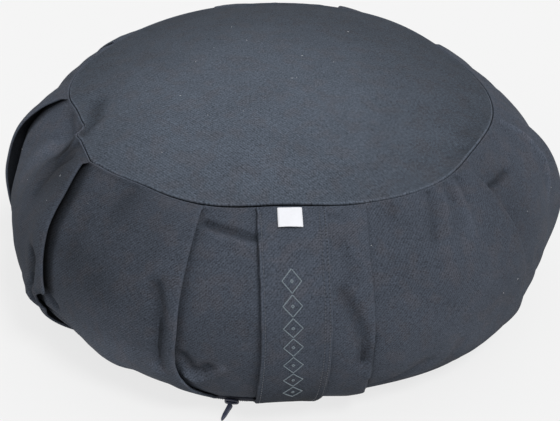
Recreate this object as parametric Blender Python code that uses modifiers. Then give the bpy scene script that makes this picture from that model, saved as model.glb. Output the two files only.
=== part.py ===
# Round pleated meditation cushion: filled side band, top and bottom panels, carry handle, label and zip.
# Metres, +Z up. The origin is the centre of the flat base, on the floor, and the front is at -Y.
# An azimuth is in degrees about +Z: 0 at the front, growing towards +X.
# A drop is the share of the way down the side band: 0 at the top seam, 1 at the bottom seam.

import math

import bmesh
import bpy
import numpy as np

MM = 0.001

# Driving sizes of the round
CROWN_HEIGHT = 0.1465
FLAT_RADIUS = 0.126
SIDE_LENGTH = 0.150
CROWN_POWER = 2.3
SEAM_REACH = 0.45
FOOT_REACH = 0.40

# Side of the filled band at a plain place
SIDE_PROFILE = (
    dict(drop=0.00, radius=0.1350, height=0.1235),
    dict(drop=0.17, radius=0.1530, height=0.1095),
    dict(drop=0.33, radius=0.1700, height=0.0910),
    dict(drop=0.50, radius=0.1780, height=0.0700),
    dict(drop=0.67, radius=0.1785, height=0.0475),
    dict(drop=0.84, radius=0.1720, height=0.0255),
    dict(drop=1.00, radius=0.1580, height=0.0090),
)

# How far the top seam, the widest line and the bottom seam stand out from their plain radius, in mm
RING_SHAPE = (
    dict(azimuth=-162, seam=7.0, girth=-2.0, foot=0.0, rise=4.5),
    dict(azimuth=-126, seam=3.0, girth=-7.0, foot=0.0, rise=2.0),
    dict(azimuth=-90, seam=-1.0, girth=-7.5, foot=-2.0, rise=0.5),
    dict(azimuth=-76, seam=-9.0, girth=-8.0, foot=-3.0, rise=0.0),
    dict(azimuth=-60, seam=0.0, girth=-4.0, foot=-3.0, rise=0.0),
    dict(azimuth=-48, seam=0.0, girth=-3.5, foot=-6.0, rise=0.0),
    dict(azimuth=-34, seam=-4.0, girth=0.0, foot=-1.0, rise=0.0),
    dict(azimuth=-17, seam=1.0, girth=0.0, foot=1.0, rise=0.0),
    dict(azimuth=2, seam=-4.0, girth=0.0, foot=0.0, rise=0.0),
    dict(azimuth=20, seam=2.0, girth=0.0, foot=0.0, rise=0.0),
    dict(azimuth=41, seam=6.0, girth=0.0, foot=5.0, rise=0.0),
    dict(azimuth=60, seam=1.0, girth=-3.0, foot=4.0, rise=0.0),
    dict(azimuth=82, seam=3.0, girth=-3.0, foot=0.0, rise=0.0),
    dict(azimuth=120, seam=-2.0, girth=-6.0, foot=0.0, rise=1.5),
    dict(azimuth=150, seam=5.0, girth=-2.0, foot=0.0, rise=4.0),
)

# Pleats, each laid over towards a larger azimuth. Lift, mouth and azimuth are given at PLEAT_DROPS.
# Lift is how high the fold stands, and mouth is the open slot under it, both in mm.
PLEAT_DROPS = (0.0, 0.25, 0.5, 0.75, 1.0)
PLEATS = (
    dict(azimuth=(-162, -161, -161, -161, -162), lift=(1, 4, 5, 5, 2), mouth=(0.5, 1.5, 2.0, 2.0, 0.5)),
    dict(azimuth=(-126, -126, -125, -125, -126), lift=(1, 5, 6, 5, 2), mouth=(0.5, 2.0, 2.5, 2.0, 0.5)),
    dict(azimuth=(-90, -92, -91, -89, -89), lift=(2, 9, 9, 5, 2), mouth=(1.0, 11.0, 10.0, 5.0, 0.5)),
    dict(azimuth=(-54, -51, -49.5, -49, -52), lift=(2, 5, 8, 5, 2), mouth=(1.0, 4.0, 7.0, 3.5, 0.5)),
    dict(azimuth=(-17.5, -17.5, -17.8, -18.0, -12.0), lift=(1, 3, 5, 5, 2), mouth=(0.5, 1.5, 3.0, 3.5, 0.5)),
    dict(azimuth=(21, 18.5, 17.5, 17.0, 17.5), lift=(1, 2, 3, 5, 2), mouth=(0.4, 0.4, 1.0, 3.5, 0.5)),
    dict(azimuth=(53.5, 54.5, 56, 57.5, 59), lift=(1, 3, 3, 3, 2), mouth=(0.4, 0.8, 0.8, 0.8, 0.5)),
    dict(azimuth=(86, 85, 84, 84, 85), lift=(1, 7, 9, 5, 2), mouth=(0.4, 2.0, 3.0, 1.5, 0.5)),
    dict(azimuth=(126, 126, 125, 125, 126), lift=(1, 4, 5, 5, 2), mouth=(0.5, 1.5, 2.0, 2.0, 0.5)),
    dict(azimuth=(162, 162, 161, 161, 162), lift=(1, 5, 5, 4, 2), mouth=(0.5, 1.5, 2.0, 1.5, 0.5)),
)
FOLD_RADIUS = 0.9 * MM
TUCK_DEPTH = 9 * MM
TUCK_END_GAP = 0.6 * MM
FLAP_RISE_WIDTH = 34 * MM
UNDER_RISE_WIDTH = 24 * MM
PANEL_BULGE = 3.0 * MM
SEAM_RAMP = 0.045

# Creases fade out at the seams over this share of the side.
CREASE_RAMP = 0.07

# Main creases: a soft trough below zero or a ridge above it, through points of azimuth and drop
CREASES = (
    dict(depth=-2.2, width=3.5, path=((-17.0, 0.085), (-10.0, 0.11), (-3.0, 0.15))),
    dict(depth=-4.5, width=6.0, path=((-23.0, 0.30), (-21.3, 0.48), (-21.5, 0.80))),
    dict(depth=-3.0, width=5.0, path=((-16.0, 0.60), (-14.0, 0.70))),
    dict(depth=2.5, width=5.0, path=((-15.5, 0.80), (-11.5, 0.68), (-7.0, 0.60))),
    dict(depth=-4.0, width=6.0, path=((12.5, 0.26), (14.6, 0.42), (14.0, 0.62))),
    dict(depth=-2.0, width=4.5, path=((55.5, 0.15), (66.0, 0.18))),
    dict(depth=-4.0, width=9.0, path=((-82.0, 0.02), (-74.0, 0.14))),
    dict(depth=-4.5, width=4.0, path=((-56.0, 0.40), (-54.0, 0.56), (-50.0, 0.68), (-52.0, 0.84))),
    dict(depth=-2.5, width=4.5, path=((19.0, 0.93), (24.0, 0.86), (29.0, 0.78))),
)

# Sheets and small pieces
SHEET = 2.0 * MM
GAP = 0.35 * MM
GROOVE = 1.6 * MM
RIM_DROP = 0.2 * MM
SEAT_STEP = 0.6 * MM
WELD = 2e-6
HANDLE_WIDTH = 0.0385
HANDLE_THICK = 2.0 * MM
HANDLE_LINE = (dict(drop=0.0, azimuth=3.4), dict(drop=0.6, azimuth=3.3), dict(drop=1.0, azimuth=1.7))
HANDLE_DROPS = (0.010, 0.985)
HANDLE_GAP = 0.8 * MM
HANDLE_SEWN = 0.20
HANDLE_PANEL = 4
HANDLE_LEFT_GAP = 2.0 * MM
LABEL_SIZE = (0.0135, 0.0140)
LABEL_THICK = 0.8 * MM
LABEL_LIFT = 0.8 * MM
LABEL_AZIMUTH = 2.9
LABEL_DROP = 0.012
ZIP_AZIMUTHS = (-13.6, -5.6)
ZIP_TAPE = (1.2 * MM, 2.8 * MM)
ZIP_HEIGHT = 7.6 * MM
ZIP_STAND_OFF = 0.4 * MM
SLIDER_AZIMUTH = -9.5
SLIDER_SIZE = (8.8 * MM, 3.0 * MM, 4.0 * MM)
PULL_RUN = 8.0 * MM
PULL_WIDTHS = (3.4 * MM, 1.4 * MM)
PULL_THICK = 1.6 * MM
PULL_TURN = -29
PULL_STAND_OFF = 1.3 * MM
PULL_FLOOR_GAP = 0.5 * MM

# Mesh steps
SIDE_ROWS = 22
PANEL_STEPS = 11
NOSE_STEPS = 2
CAP_RINGS = (0.93, 0.78, 0.55, 0.28)


def smooth(x):
    """Ease from 0 to 1."""
    x = np.clip(x, 0.0, 1.0)
    return x * x * (3.0 - 2.0 * x)


def curve_through(x, knots, values, period=None):
    """Cubic curve through the knots, read at x. A period closes it."""
    knots = np.asarray(knots, float)
    values = np.asarray(values, float)
    x = np.asarray(x, float)
    if period:
        x = (x - knots[0]) % period + knots[0]
        knots = np.concatenate([knots[-2:] - period, knots, knots[:2] + period])
        values = np.concatenate([values[-2:], values, values[:2]])
    slopes = np.gradient(values, knots)
    k = np.clip(np.searchsorted(knots, x, side="right") - 1, 0, len(knots) - 2)
    span = knots[k + 1] - knots[k]
    t = (x - knots[k]) / span
    rest = 1.0 - t
    ends = values[k] * rest * rest * (1 + 2 * t) + values[k + 1] * t * t * (3 - 2 * t)
    return ends + span * (slopes[k] * t * rest * rest - slopes[k + 1] * t * t * rest)


def ring_shape(azimuth, column):
    """One column of the ring table at an azimuth, in metres."""
    knots = [row["azimuth"] for row in RING_SHAPE]
    return curve_through(azimuth, knots, [row[column] for row in RING_SHAPE], 360) * MM


def plain_side(azimuth, drop):
    """Radius and height of the side without folds."""
    knots = [row["drop"] for row in SIDE_PROFILE]
    radius = curve_through(drop, knots, [row["radius"] for row in SIDE_PROFILE])
    height = curve_through(drop, knots, [row["height"] for row in SIDE_PROFILE])
    near_seam = 1.0 - smooth(drop / SEAM_REACH)
    near_foot = smooth((drop - 1.0) / FOOT_REACH + 1.0)
    radius = radius + near_seam * ring_shape(azimuth, "seam") + near_foot * ring_shape(azimuth, "foot")
    radius = radius + (1.0 - near_seam - near_foot) * ring_shape(azimuth, "girth")
    return radius, height + near_seam * ring_shape(azimuth, "rise")


def crease_offset(azimuth, drop):
    """How far the main creases push the side out, in metres."""
    radius = plain_side(azimuth, drop)[0]
    offset = np.zeros(np.broadcast(azimuth, drop).shape)
    for crease in CREASES:
        path = np.array(crease["path"])
        reach = crease["width"] * MM
        nearest = np.full(offset.shape, 9.0)
        for start, end in zip(path[:-1], path[1:]):
            along_x, along_y = math.radians(end[0] - start[0]) * radius, (end[1] - start[1]) * SIDE_LENGTH
            x, y = np.radians(azimuth - start[0]) * radius, (drop - start[1]) * SIDE_LENGTH
            share = np.clip((x * along_x + y * along_y) / (along_x ** 2 + along_y ** 2), 0, 1)
            nearest = np.minimum(nearest, np.hypot(x - share * along_x, y - share * along_y))
        offset = offset + crease["depth"] * MM * np.exp(-(nearest / reach) ** 2)
    return offset * smooth(drop / CREASE_RAMP) * smooth((1 - drop) / CREASE_RAMP)


def side_point(azimuth, drop, out):
    """Point on the side, pushed out along the side's own normal."""
    step = 1 / 250
    low_r, low_z = plain_side(azimuth, np.clip(drop + step, 0, 1))
    high_r, high_z = plain_side(azimuth, np.clip(drop - step, 0, 1))
    run, fall = low_r - high_r, high_z - low_z
    length = np.hypot(run, fall)
    radius, height = plain_side(azimuth, drop)
    out = out + crease_offset(azimuth, drop)
    radius = radius + out * fall / length
    height = height + out * run / length
    angle = np.radians(azimuth)
    return np.stack([radius * np.sin(angle), -radius * np.cos(angle), height], -1)


def pleat_at(index, drop):
    """Azimuth, lift, mouth, fold radius and tuck depth of a pleat at each drop."""
    pleat = PLEATS[index % len(PLEATS)]
    ramp = smooth(drop / SEAM_RAMP) * smooth((1 - drop) / SEAM_RAMP)
    azimuth = curve_through(drop, PLEAT_DROPS, pleat["azimuth"]) + 360 * (index // len(PLEATS))
    lift = curve_through(drop, PLEAT_DROPS, pleat["lift"]) * MM * ramp
    mouth = curve_through(drop, PLEAT_DROPS, pleat["mouth"]) * MM * ramp
    return azimuth, lift, mouth, FOLD_RADIUS * ramp, TUCK_DEPTH * ramp, TUCK_END_GAP * ramp


def flap_height(lift, across):
    """Height of a flap's outer face at a distance across from its edge (negative on the flap)."""
    return lift * smooth(1 + across / FLAP_RISE_WIDTH)


def panel_offset(index, azimuth, drop):
    """How far the cloth between pleat index and the next stands out."""
    left_az, left_lift, left_mouth, left_fold, left_tuck, left_gap = pleat_at(index, drop)
    right_az, right_lift = pleat_at(index + 1, drop)[:2]
    radius = plain_side(azimuth, drop)[0]
    from_left = np.radians(azimuth - left_az) * radius
    from_right = np.radians(azimuth - right_az) * radius
    mouth_level = left_lift - 2 * left_fold - left_mouth
    beside = mouth_level * (1 - smooth(from_left / UNDER_RISE_WIDTH))
    depth_share = np.clip(1 + from_left / np.maximum(left_tuck, 1e-9), 0, 1)
    gap = left_gap + (left_mouth - left_gap) * depth_share
    under = flap_height(left_lift, from_left) - 2 * left_fold - gap
    level = np.where(from_left < 0, under, beside)
    share = np.clip((azimuth - left_az) / (right_az - left_az), 0, 1)
    bulge = PANEL_BULGE * 4 * share * (1 - share) * np.sin(np.pi * drop)
    return level + flap_height(right_lift, from_right) * (from_left > 0) + bulge


def band_section(drop, panel_steps, nose_steps):
    """Azimuths and offsets of the folded cloth, once round, for each drop (a column of rows)."""
    azimuths, offsets = [], []
    shares = 0.5 - 0.5 * np.cos(np.pi * np.linspace(0, 1, panel_steps))
    for index in range(len(PLEATS)):
        left_az, _, _, _, left_tuck, _ = pleat_at(index, drop)
        right_az, right_lift, _, fold, tuck, _ = pleat_at(index + 1, drop)
        degrees = np.degrees(1 / plain_side(right_az, drop)[0])
        start = left_az - left_tuck * degrees
        end = right_az - fold * degrees
        panel = start + (end - start) * shares
        azimuths += list(np.moveaxis(panel, 1, 0))
        offsets += list(np.moveaxis(panel_offset(index, panel, drop), 1, 0))
        edge_height = offsets[-1]
        for k in range(1, nose_steps + 1):
            turn = math.pi * k / (nose_steps + 1)
            azimuths.append((end + fold * math.sin(turn) * degrees)[:, 0])
            offsets.append(edge_height - (fold * (1 - math.cos(turn)))[:, 0])
        azimuths.append(end[:, 0])
        offsets.append(edge_height - 2 * fold[:, 0])
        azimuths.append((right_az - tuck * degrees)[:, 0])
        tuck_height = flap_height(right_lift, -tuck) - 2 * fold
        offsets.append(tuck_height[:, 0])
    return np.stack(azimuths, 1), np.stack(offsets, 1)


def material(name, colour, roughness, metallic=0.0):
    """Plain Principled material."""
    made = bpy.data.materials.new(name)
    made.use_nodes = True
    shader = made.node_tree.nodes["Principled BSDF"]
    shader.inputs["Base Color"].default_value = (*colour, 1.0)
    shader.inputs["Roughness"].default_value = roughness
    shader.inputs["Metallic"].default_value = metallic
    return made


def object_from(name, mesh_data, collection, look):
    """Mesh object from a bmesh, with one material."""
    bmesh.ops.remove_doubles(mesh_data, verts=mesh_data.verts, dist=WELD)
    bmesh.ops.recalc_face_normals(mesh_data, faces=mesh_data.faces)
    mesh = bpy.data.meshes.new(name)
    mesh_data.to_mesh(mesh)
    mesh_data.free()
    mesh.materials.append(look)
    mesh.shade_smooth()
    mesh.set_sharp_from_angle(angle=math.radians(50))
    made = bpy.data.objects.new(name, mesh)
    collection.objects.link(made)
    return made


def add_grid(mesh_data, rows, closed):
    """Faces between rows of points. Closed rows run all the way round."""
    made = [[mesh_data.verts.new(point) for point in row] for row in rows]
    for upper, lower in zip(made[:-1], made[1:]):
        count = len(upper)
        for k in range(count if closed else count - 1):
            after = (k + 1) % count
            mesh_data.faces.new((upper[k], lower[k], lower[after], upper[after]))
    return made


def ring_points(azimuth, radius, height):
    """Points once round at each azimuth's own radius and height."""
    angle = np.radians(azimuth)
    height = height + np.zeros_like(angle)
    return np.stack([radius * np.sin(angle), -radius * np.cos(angle), height], -1)


def crown_height(azimuth, share):
    """Height of the top panel's outer face. Share is 0 at the middle and 1 at its rim."""
    rim = plain_side(azimuth, 0.0)[1] - RIM_DROP
    return CROWN_HEIGHT - (CROWN_HEIGHT - rim) * share ** CROWN_POWER


def base_height(azimuth, radius):
    """Height of the bottom panel's lower face: flat, then up to the bottom seam."""
    foot_radius, foot_height = plain_side(azimuth, 1.0)
    rise = np.clip((radius - FLAT_RADIUS) / (foot_radius - GROOVE - FLAT_RADIUS), 0, 1)
    return (foot_height - RIM_DROP) * rise ** 2


def base_shares(azimuth):
    """Shares of the base rim's radius where its rings lie."""
    flat = FLAT_RADIUS / (plain_side(azimuth, 1.0)[0] - GROOVE)
    return [np.ones_like(flat), 0.5 + 0.5 * flat, flat]


def seam_azimuths(drop):
    """Azimuths of the band's points at one of its seams, where its folds close to single points."""
    azimuth = band_section(np.array([[drop]]), PANEL_STEPS, NOSE_STEPS)[0][0]
    return azimuth[np.concatenate([[True], np.diff(azimuth) > 1e-6])]


def build_side_band(collection, look):
    """Filled body with its pleated side and the seats of both panels."""
    body = bmesh.new()
    drops = 0.5 - 0.5 * np.cos(np.pi * np.linspace(0.06, 0.94, SIDE_ROWS))
    drops = ((drops - drops[0]) / (drops[-1] - drops[0]))[:, None]
    azimuth, offset = band_section(drops, PANEL_STEPS, NOSE_STEPS)
    side = list(side_point(azimuth, drops, offset))
    top_az, foot_az = azimuth[0], azimuth[-1]
    seam_r, seam_z = plain_side(top_az, 0.0)
    foot_r, foot_z = plain_side(foot_az, 1.0)
    above = []
    for share in CAP_RINGS[::-1]:
        height = crown_height(top_az, share) - SHEET - GAP
        above.append(ring_points(top_az, (seam_r - GROOVE) * share, height))
    above.append(ring_points(top_az, seam_r - GROOVE + GAP, seam_z - RIM_DROP - SHEET - GAP))
    above.append(ring_points(top_az, seam_r - GROOVE + 2 * GAP, seam_z - SEAT_STEP))
    below = [ring_points(foot_az, foot_r - GROOVE + 2 * GAP, foot_z + SEAT_STEP)]
    for share in base_shares(foot_az):
        radius = (foot_r - GROOVE) * share
        height = base_height(foot_az, radius) + SHEET + GAP
        below.append(ring_points(foot_az, radius + GAP, height))
    rows = add_grid(body, above + side + below, closed=True)
    middle = body.verts.new((0, 0, CROWN_HEIGHT - SHEET - GAP))
    for k, corner in enumerate(rows[0]):
        body.faces.new((middle, corner, rows[0][(k + 1) % len(rows[0])]))
    body.faces.new(rows[-1][::-1])
    return object_from("side_band", body, collection, look)


def build_top_panel(collection, look):
    """Round top panel with its low crown."""
    body = bmesh.new()
    azimuth = seam_azimuths(0.0)
    rim = plain_side(azimuth, 0.0)[0] - GROOVE
    rows = []
    for face_drop, shares in ((0.0, CAP_RINGS[::-1] + (1.0,)), (SHEET, (1.0,) + CAP_RINGS)):
        for share in shares:
            rows.append(ring_points(azimuth, rim * share, crown_height(azimuth, share) - face_drop))
    made = add_grid(body, rows, closed=True)
    for row, height in ((made[0], CROWN_HEIGHT), (made[-1], CROWN_HEIGHT - SHEET)):
        middle = body.verts.new((0, 0, height))
        for k, corner in enumerate(row):
            body.faces.new((middle, corner, row[(k + 1) % len(row)]))
    return object_from("top_panel", body, collection, look)


def build_bottom_panel(collection, look):
    """Round bottom panel: its flat part is the face that the cushion rests on."""
    body = bmesh.new()
    azimuth = seam_azimuths(1.0)
    rim = plain_side(azimuth, 1.0)[0] - GROOVE
    rows = []
    for lift, shares in ((0.0, base_shares(azimuth)[::-1]), (SHEET, base_shares(azimuth))):
        for share in shares:
            rows.append(ring_points(azimuth, rim * share, base_height(azimuth, rim * share) + lift))
    made = add_grid(body, rows, closed=True)
    body.faces.new(made[0])
    body.faces.new(made[-1])
    return object_from("bottom_panel", body, collection, look)


def handle_surface(azimuth, drop, out):
    """Point over the front panel between the two pleats beside the handle."""
    return side_point(azimuth, drop, panel_offset(HANDLE_PANEL, azimuth, drop) + out)


def handle_azimuth(drop):
    """Azimuth of the handle's middle line, which leans a little at its foot."""
    return curve_through(drop, [row["drop"] for row in HANDLE_LINE], [row["azimuth"] for row in HANDLE_LINE])


def handle_inner_level(azimuth, drop):
    """How far the handle's inner face stands off the side, most at its free left edge."""
    across = np.radians(azimuth - handle_azimuth(drop)) * plain_side(azimuth, drop)[0]
    free = smooth(drop / HANDLE_SEWN) * smooth((1 - drop) / HANDLE_SEWN)
    return HANDLE_GAP + HANDLE_LEFT_GAP * free * smooth(0.5 - across / HANDLE_WIDTH)


def build_handle(collection, look):
    """Carry band from seam to seam, its left edge standing off the side."""
    body = bmesh.new()
    drops = np.linspace(*HANDLE_DROPS, 26)[:, None]
    across = np.linspace(-0.5, 0.5, 9)[None, :] * HANDLE_WIDTH
    middle = handle_azimuth(drops)
    azimuth = middle + np.degrees(across / plain_side(middle, drops)[0])
    level = handle_inner_level(azimuth, drops)
    outer = handle_surface(azimuth, drops, level + HANDLE_THICK)
    inner = handle_surface(azimuth, drops, level)
    return closed_sheet("carry_handle", body, outer, inner, collection, look)


def closed_sheet(name, body, outer, inner, collection, look):
    """Solid between two equal grids of points, joined round their edges."""
    top = add_grid(body, outer, closed=False)
    bottom = add_grid(body, inner, closed=False)

    def border(grid):
        right = [row[-1] for row in grid[1:-1]]
        left = [row[0] for row in grid[1:-1]]
        return grid[0] + right + grid[-1][::-1] + left[::-1]

    rim_top, rim_bottom = border(top), border(bottom)
    for k in range(len(rim_top)):
        after = (k + 1) % len(rim_top)
        body.faces.new((rim_top[k], rim_top[after], rim_bottom[after], rim_bottom[k]))
    return object_from(name, body, collection, look)


def build_label(collection, look):
    """Woven tag hanging from the top seam over the handle."""
    body = bmesh.new()
    width, height = LABEL_SIZE
    drops = (LABEL_DROP + np.linspace(0, 1, 6) * height / SIDE_LENGTH)[:, None]
    across = np.linspace(-0.5, 0.5, 6)[None, :] * width
    azimuth = LABEL_AZIMUTH + np.degrees(across / plain_side(LABEL_AZIMUTH, drops)[0])
    level = handle_inner_level(azimuth, drops) + HANDLE_THICK + GAP
    level = level + LABEL_LIFT * smooth((drops - drops[0]) / (drops[-1] - drops[0]))
    outer = handle_surface(azimuth, drops, level + LABEL_THICK)
    inner = handle_surface(azimuth, drops, level)
    return closed_sheet("woven_label", body, outer, inner, collection, look)


def build_zip_tape(collection, look):
    """The stretch of zip that shows along the bottom seam."""
    body = bmesh.new()
    azimuth = np.linspace(*ZIP_AZIMUTHS, 12)
    radius = plain_side(azimuth, 1.0)[0] + ZIP_STAND_OFF
    thick, tall = ZIP_TAPE
    outer = [ring_points(azimuth, radius + thick, ZIP_HEIGHT + k * tall) for k in (0.5, -0.5)]
    inner = [ring_points(azimuth, radius, ZIP_HEIGHT + k * tall) for k in (0.5, -0.5)]
    return closed_sheet("zip_tape", body, outer, inner, collection, look)


def rounded_block(name, size, place, turn, bevel, collection, look):
    """Block with rounded edges, placed by its centre."""
    body = bmesh.new()
    bmesh.ops.create_cube(body, size=1.0)
    bmesh.ops.scale(body, vec=size, verts=body.verts)
    made = object_from(name, body, collection, look)
    made.location = place
    made.rotation_euler = turn
    edge = made.modifiers.new("rounding", "BEVEL")
    edge.width = bevel
    edge.segments = 2
    return made


def slider_frame():
    """Centre of the slider and its turn about +Z."""
    angle = math.radians(SLIDER_AZIMUTH)
    tape_face = float(plain_side(SLIDER_AZIMUTH, 1.0)[0]) + ZIP_STAND_OFF + ZIP_TAPE[0]
    radius = tape_face + GAP + SLIDER_SIZE[1] / 2
    return (radius * math.sin(angle), -radius * math.cos(angle), ZIP_HEIGHT), angle


def build_slider(collection, look):
    """Zip slider, outside the tape."""
    place, angle = slider_frame()
    return rounded_block("zip_slider", SLIDER_SIZE, place, (0, 0, angle), 1.0 * MM, collection, look)


def build_pull(collection, look):
    """Pull tab: it leans from the slider's face down to the floor, narrowing to its tip."""
    place, angle = slider_frame()
    turn = angle + math.radians(PULL_TURN)
    outward = np.array([math.sin(turn), -math.cos(turn), 0.0])
    sideways = np.array([math.cos(turn), math.sin(turn), 0.0])
    face = SLIDER_SIZE[1] / 2 + PULL_STAND_OFF
    root = np.array(place) + face * np.array([math.sin(angle), -math.cos(angle), 0.0])
    low = PULL_THICK / 2 + PULL_FLOOR_GAP
    body = bmesh.new()
    outer, inner = [], []
    for share in np.linspace(0, 1, 7):
        height = place[2] + (low - place[2]) * share
        half = (PULL_WIDTHS[0] + (PULL_WIDTHS[1] - PULL_WIDTHS[0]) * share) / 2
        spread = [root + outward * PULL_RUN * share + sideways * half * k for k in (-1, 0, 1)]
        outer.append([(p[0], p[1], height + PULL_THICK / 2) for p in spread])
        inner.append([(p[0], p[1], height - PULL_THICK / 2) for p in spread])
    return closed_sheet("zip_pull", body, outer, inner, collection, look)


def clear_scene():
    """Remove what the file opens with."""
    for old in list(bpy.data.objects):
        bpy.data.objects.remove(old, do_unlink=True)


def main():
    """Build every piece of the cushion."""
    clear_scene()
    collection = bpy.data.collections.new("meditation_cushion")
    bpy.context.scene.collection.children.link(collection)
    cotton = material("cotton_band", (0.066, 0.076, 0.093), 0.92)
    panel_cotton = material("cotton_panel", (0.085, 0.100, 0.120), 0.92)
    webbing = material("cotton_handle", (0.062, 0.071, 0.086), 0.92)
    tag = material("white_tag", (0.82, 0.83, 0.84), 0.85)
    tape = material("zip_tape_cloth", (0.030, 0.035, 0.055), 0.8)
    enamel = material("zip_enamel", (0.035, 0.040, 0.070), 0.35)
    build_side_band(collection, cotton)
    build_top_panel(collection, panel_cotton)
    build_bottom_panel(collection, panel_cotton)
    build_handle(collection, webbing)
    build_label(collection, tag)
    build_zip_tape(collection, tape)
    build_slider(collection, enamel)
    build_pull(collection, enamel)


main()
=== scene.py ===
# Looks of the round pleated meditation cushion: cloth, folds, seams, stitching, tag, zip, floor and light.
# Metres, +Z up, in the part's frame. Azimuth in degrees, 0 at the front (-Y), growing towards +X.
# A drop is the share of the way down the side band: 0 at the top seam, 1 at the bottom seam.

import math

import bpy
import numpy as np
from mathutils import Matrix, Vector


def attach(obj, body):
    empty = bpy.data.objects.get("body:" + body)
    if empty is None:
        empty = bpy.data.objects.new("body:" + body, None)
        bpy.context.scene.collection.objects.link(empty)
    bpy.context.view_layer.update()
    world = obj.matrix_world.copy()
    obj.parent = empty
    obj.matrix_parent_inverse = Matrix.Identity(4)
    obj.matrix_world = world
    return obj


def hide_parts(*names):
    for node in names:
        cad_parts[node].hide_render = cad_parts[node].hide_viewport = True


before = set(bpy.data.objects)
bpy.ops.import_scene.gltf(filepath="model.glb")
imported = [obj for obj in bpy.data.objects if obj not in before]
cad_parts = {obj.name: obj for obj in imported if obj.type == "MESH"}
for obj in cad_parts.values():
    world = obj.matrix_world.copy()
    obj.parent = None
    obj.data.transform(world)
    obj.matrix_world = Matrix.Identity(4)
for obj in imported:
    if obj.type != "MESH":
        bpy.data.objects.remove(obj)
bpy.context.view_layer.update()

MM = 0.001
UP = np.array([0.0, 0.0, 1.0])


def rows(columns, *table):
    """Rows of a table, each with its values under the columns' names."""
    return [dict(zip(columns.split(), row)) for row in table]


# Driving sizes of the round
CROWN_HEIGHT = 0.1465
FLAT_RADIUS = 0.126
SIDE_LENGTH = 0.150
GIRTH_RADIUS = 0.17
CROWN_POWER = 2.3
SEAM_REACH = 0.45
FOOT_REACH = 0.40

# Side of the filled band at a plain place
SIDE_PROFILE = rows(
    "drop radius height",
    (0.00, 0.1350, 0.1235),
    (0.17, 0.1530, 0.1095),
    (0.33, 0.1700, 0.0910),
    (0.50, 0.1780, 0.0700),
    (0.67, 0.1785, 0.0475),
    (0.84, 0.1720, 0.0255),
    (1.00, 0.1580, 0.0090),
)

# How far the top seam, the widest line and the bottom seam stand out from their plain radius, in mm
RING_SHAPE = rows(
    "azimuth seam girth foot rise",
    (-162, 7.0, -2.0, 0.0, 4.5),
    (-126, 3.0, -7.0, 0.0, 2.0),
    (-90, -1.0, -7.5, -2.0, 0.5),
    (-76, -9.0, -8.0, -3.0, 0.0),
    (-60, 0.0, -4.0, -3.0, 0.0),
    (-48, 0.0, -3.5, -6.0, 0.0),
    (-34, -4.0, 0.0, -1.0, 0.0),
    (-17, 1.0, 0.0, 1.0, 0.0),
    (2, -4.0, 0.0, 0.0, 0.0),
    (20, 2.0, 0.0, 0.0, 0.0),
    (41, 6.0, 0.0, 5.0, 0.0),
    (60, 1.0, -3.0, 4.0, 0.0),
    (82, 3.0, -3.0, 0.0, 0.0),
    (120, -2.0, -6.0, 0.0, 1.5),
    (150, 5.0, -2.0, 0.0, 4.0),
)

# Small corners of the top seam where the left pleats meet it: out in mm, width in degrees
SEAM_CORNERS = rows(
    "azimuth out width",
    (-85.0, -1.6, 5.0),
    (-73.0, -1.4, 2.4),
    (-68.6, 2.8, 1.9),
    (-61.0, -1.8, 4.0),
    (-53.8, 1.2, 1.8),
    (-30.0, 2.6, 9.0),
)

# Pleats, each laid over towards a larger azimuth. Azimuth, lift, mouth and shade are given at PLEAT_DROPS.
# Tuck is how far each fold runs under its flap. Lift, mouth and tuck are in mm. Shade is how dark a fold's
# painted shade is.
PLEAT_DROPS = (0.0, 0.25, 0.5, 0.75, 1.0)
MILD_SHADE = (0.2, 0.5, 0.5, 0.5, 0.3)
PLEATS = rows(
    "azimuth lift mouth tuck shade",
    ((-162, -161, -161, -161, -162), (1, 4, 5, 5, 2), (0.5, 1.5, 2.0, 2.0, 0.5), 12, MILD_SHADE),
    ((-126, -126, -125, -125, -126), (1, 5, 6, 5, 2), (0.5, 2.0, 2.5, 2.0, 0.5), 12, MILD_SHADE),
    ((-90, -92, -91, -89, -89), (3, 9, 9, 5, 2), (1.2, 4.8, 8.6, 5.0, 0.5), 26,
     (0.6, 0.95, 0.95, 0.8, 0.4)),
    ((-54, -51, -49.5, -49, -52), (4.5, 7.5, 7, 6, 2), (3.4, 4.8, 3.8, 2.8, 0.5), 22,
     (0.9, 1.0, 0.95, 0.8, 0.4)),
    ((-17.5, -17.5, -17.8, -18, -12), (2.5, 4, 5, 4.8, 2), (2.0, 2.5, 3.4, 2.0, 0.4), 16,
     (0.3, 0.3, 0.5, 0.5, 0.3)),
    ((21, 18.5, 17.5, 16.7, 17.3), (1, 1.6, 2.6, 5, 2), (0.4, 0.4, 1.0, 3.5, 0.5), 10,
     (0, 0.05, 0.15, 0.55, 0.6)),
    ((51.5, 54, 56, 57.5, 59), (2.6, 3.6, 3.2, 3, 2), (1.2, 1.6, 1.3, 0.8, 0.5), 10,
     (0.25, 0.35, 0.25, 0.15, 0.1)),
    ((86, 85, 84, 84, 85), (1, 7, 9, 5, 2), (0.4, 2.0, 3.0, 1.5, 0.5), 14, (0.2, 0.6, 0.7, 0.5, 0.3)),
    ((126, 126, 125, 125, 126), (1, 4, 5, 5, 2), (0.5, 1.5, 2.0, 2.0, 0.5), 12, MILD_SHADE),
    ((162, 162, 161, 161, 162), (1, 5, 5, 4, 2), (0.5, 1.5, 2.0, 1.5, 0.5), 12, MILD_SHADE),
)
# The left pleat's fold line moves over by some degrees, from a drop down.
KINK = dict(pleat=3, start=0.60, width=0.07, degrees=-4.5, fade=0.18)
FOLD_RADIUS = 0.9 * MM
TUCK_END_GAP = 0.6 * MM
FLAP_RISE_WIDTH = 34 * MM
UNDER_RISE_WIDTH = 24 * MM
PANEL_BULGE = 3.0 * MM
SEAM_RAMP = 0.03
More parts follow.
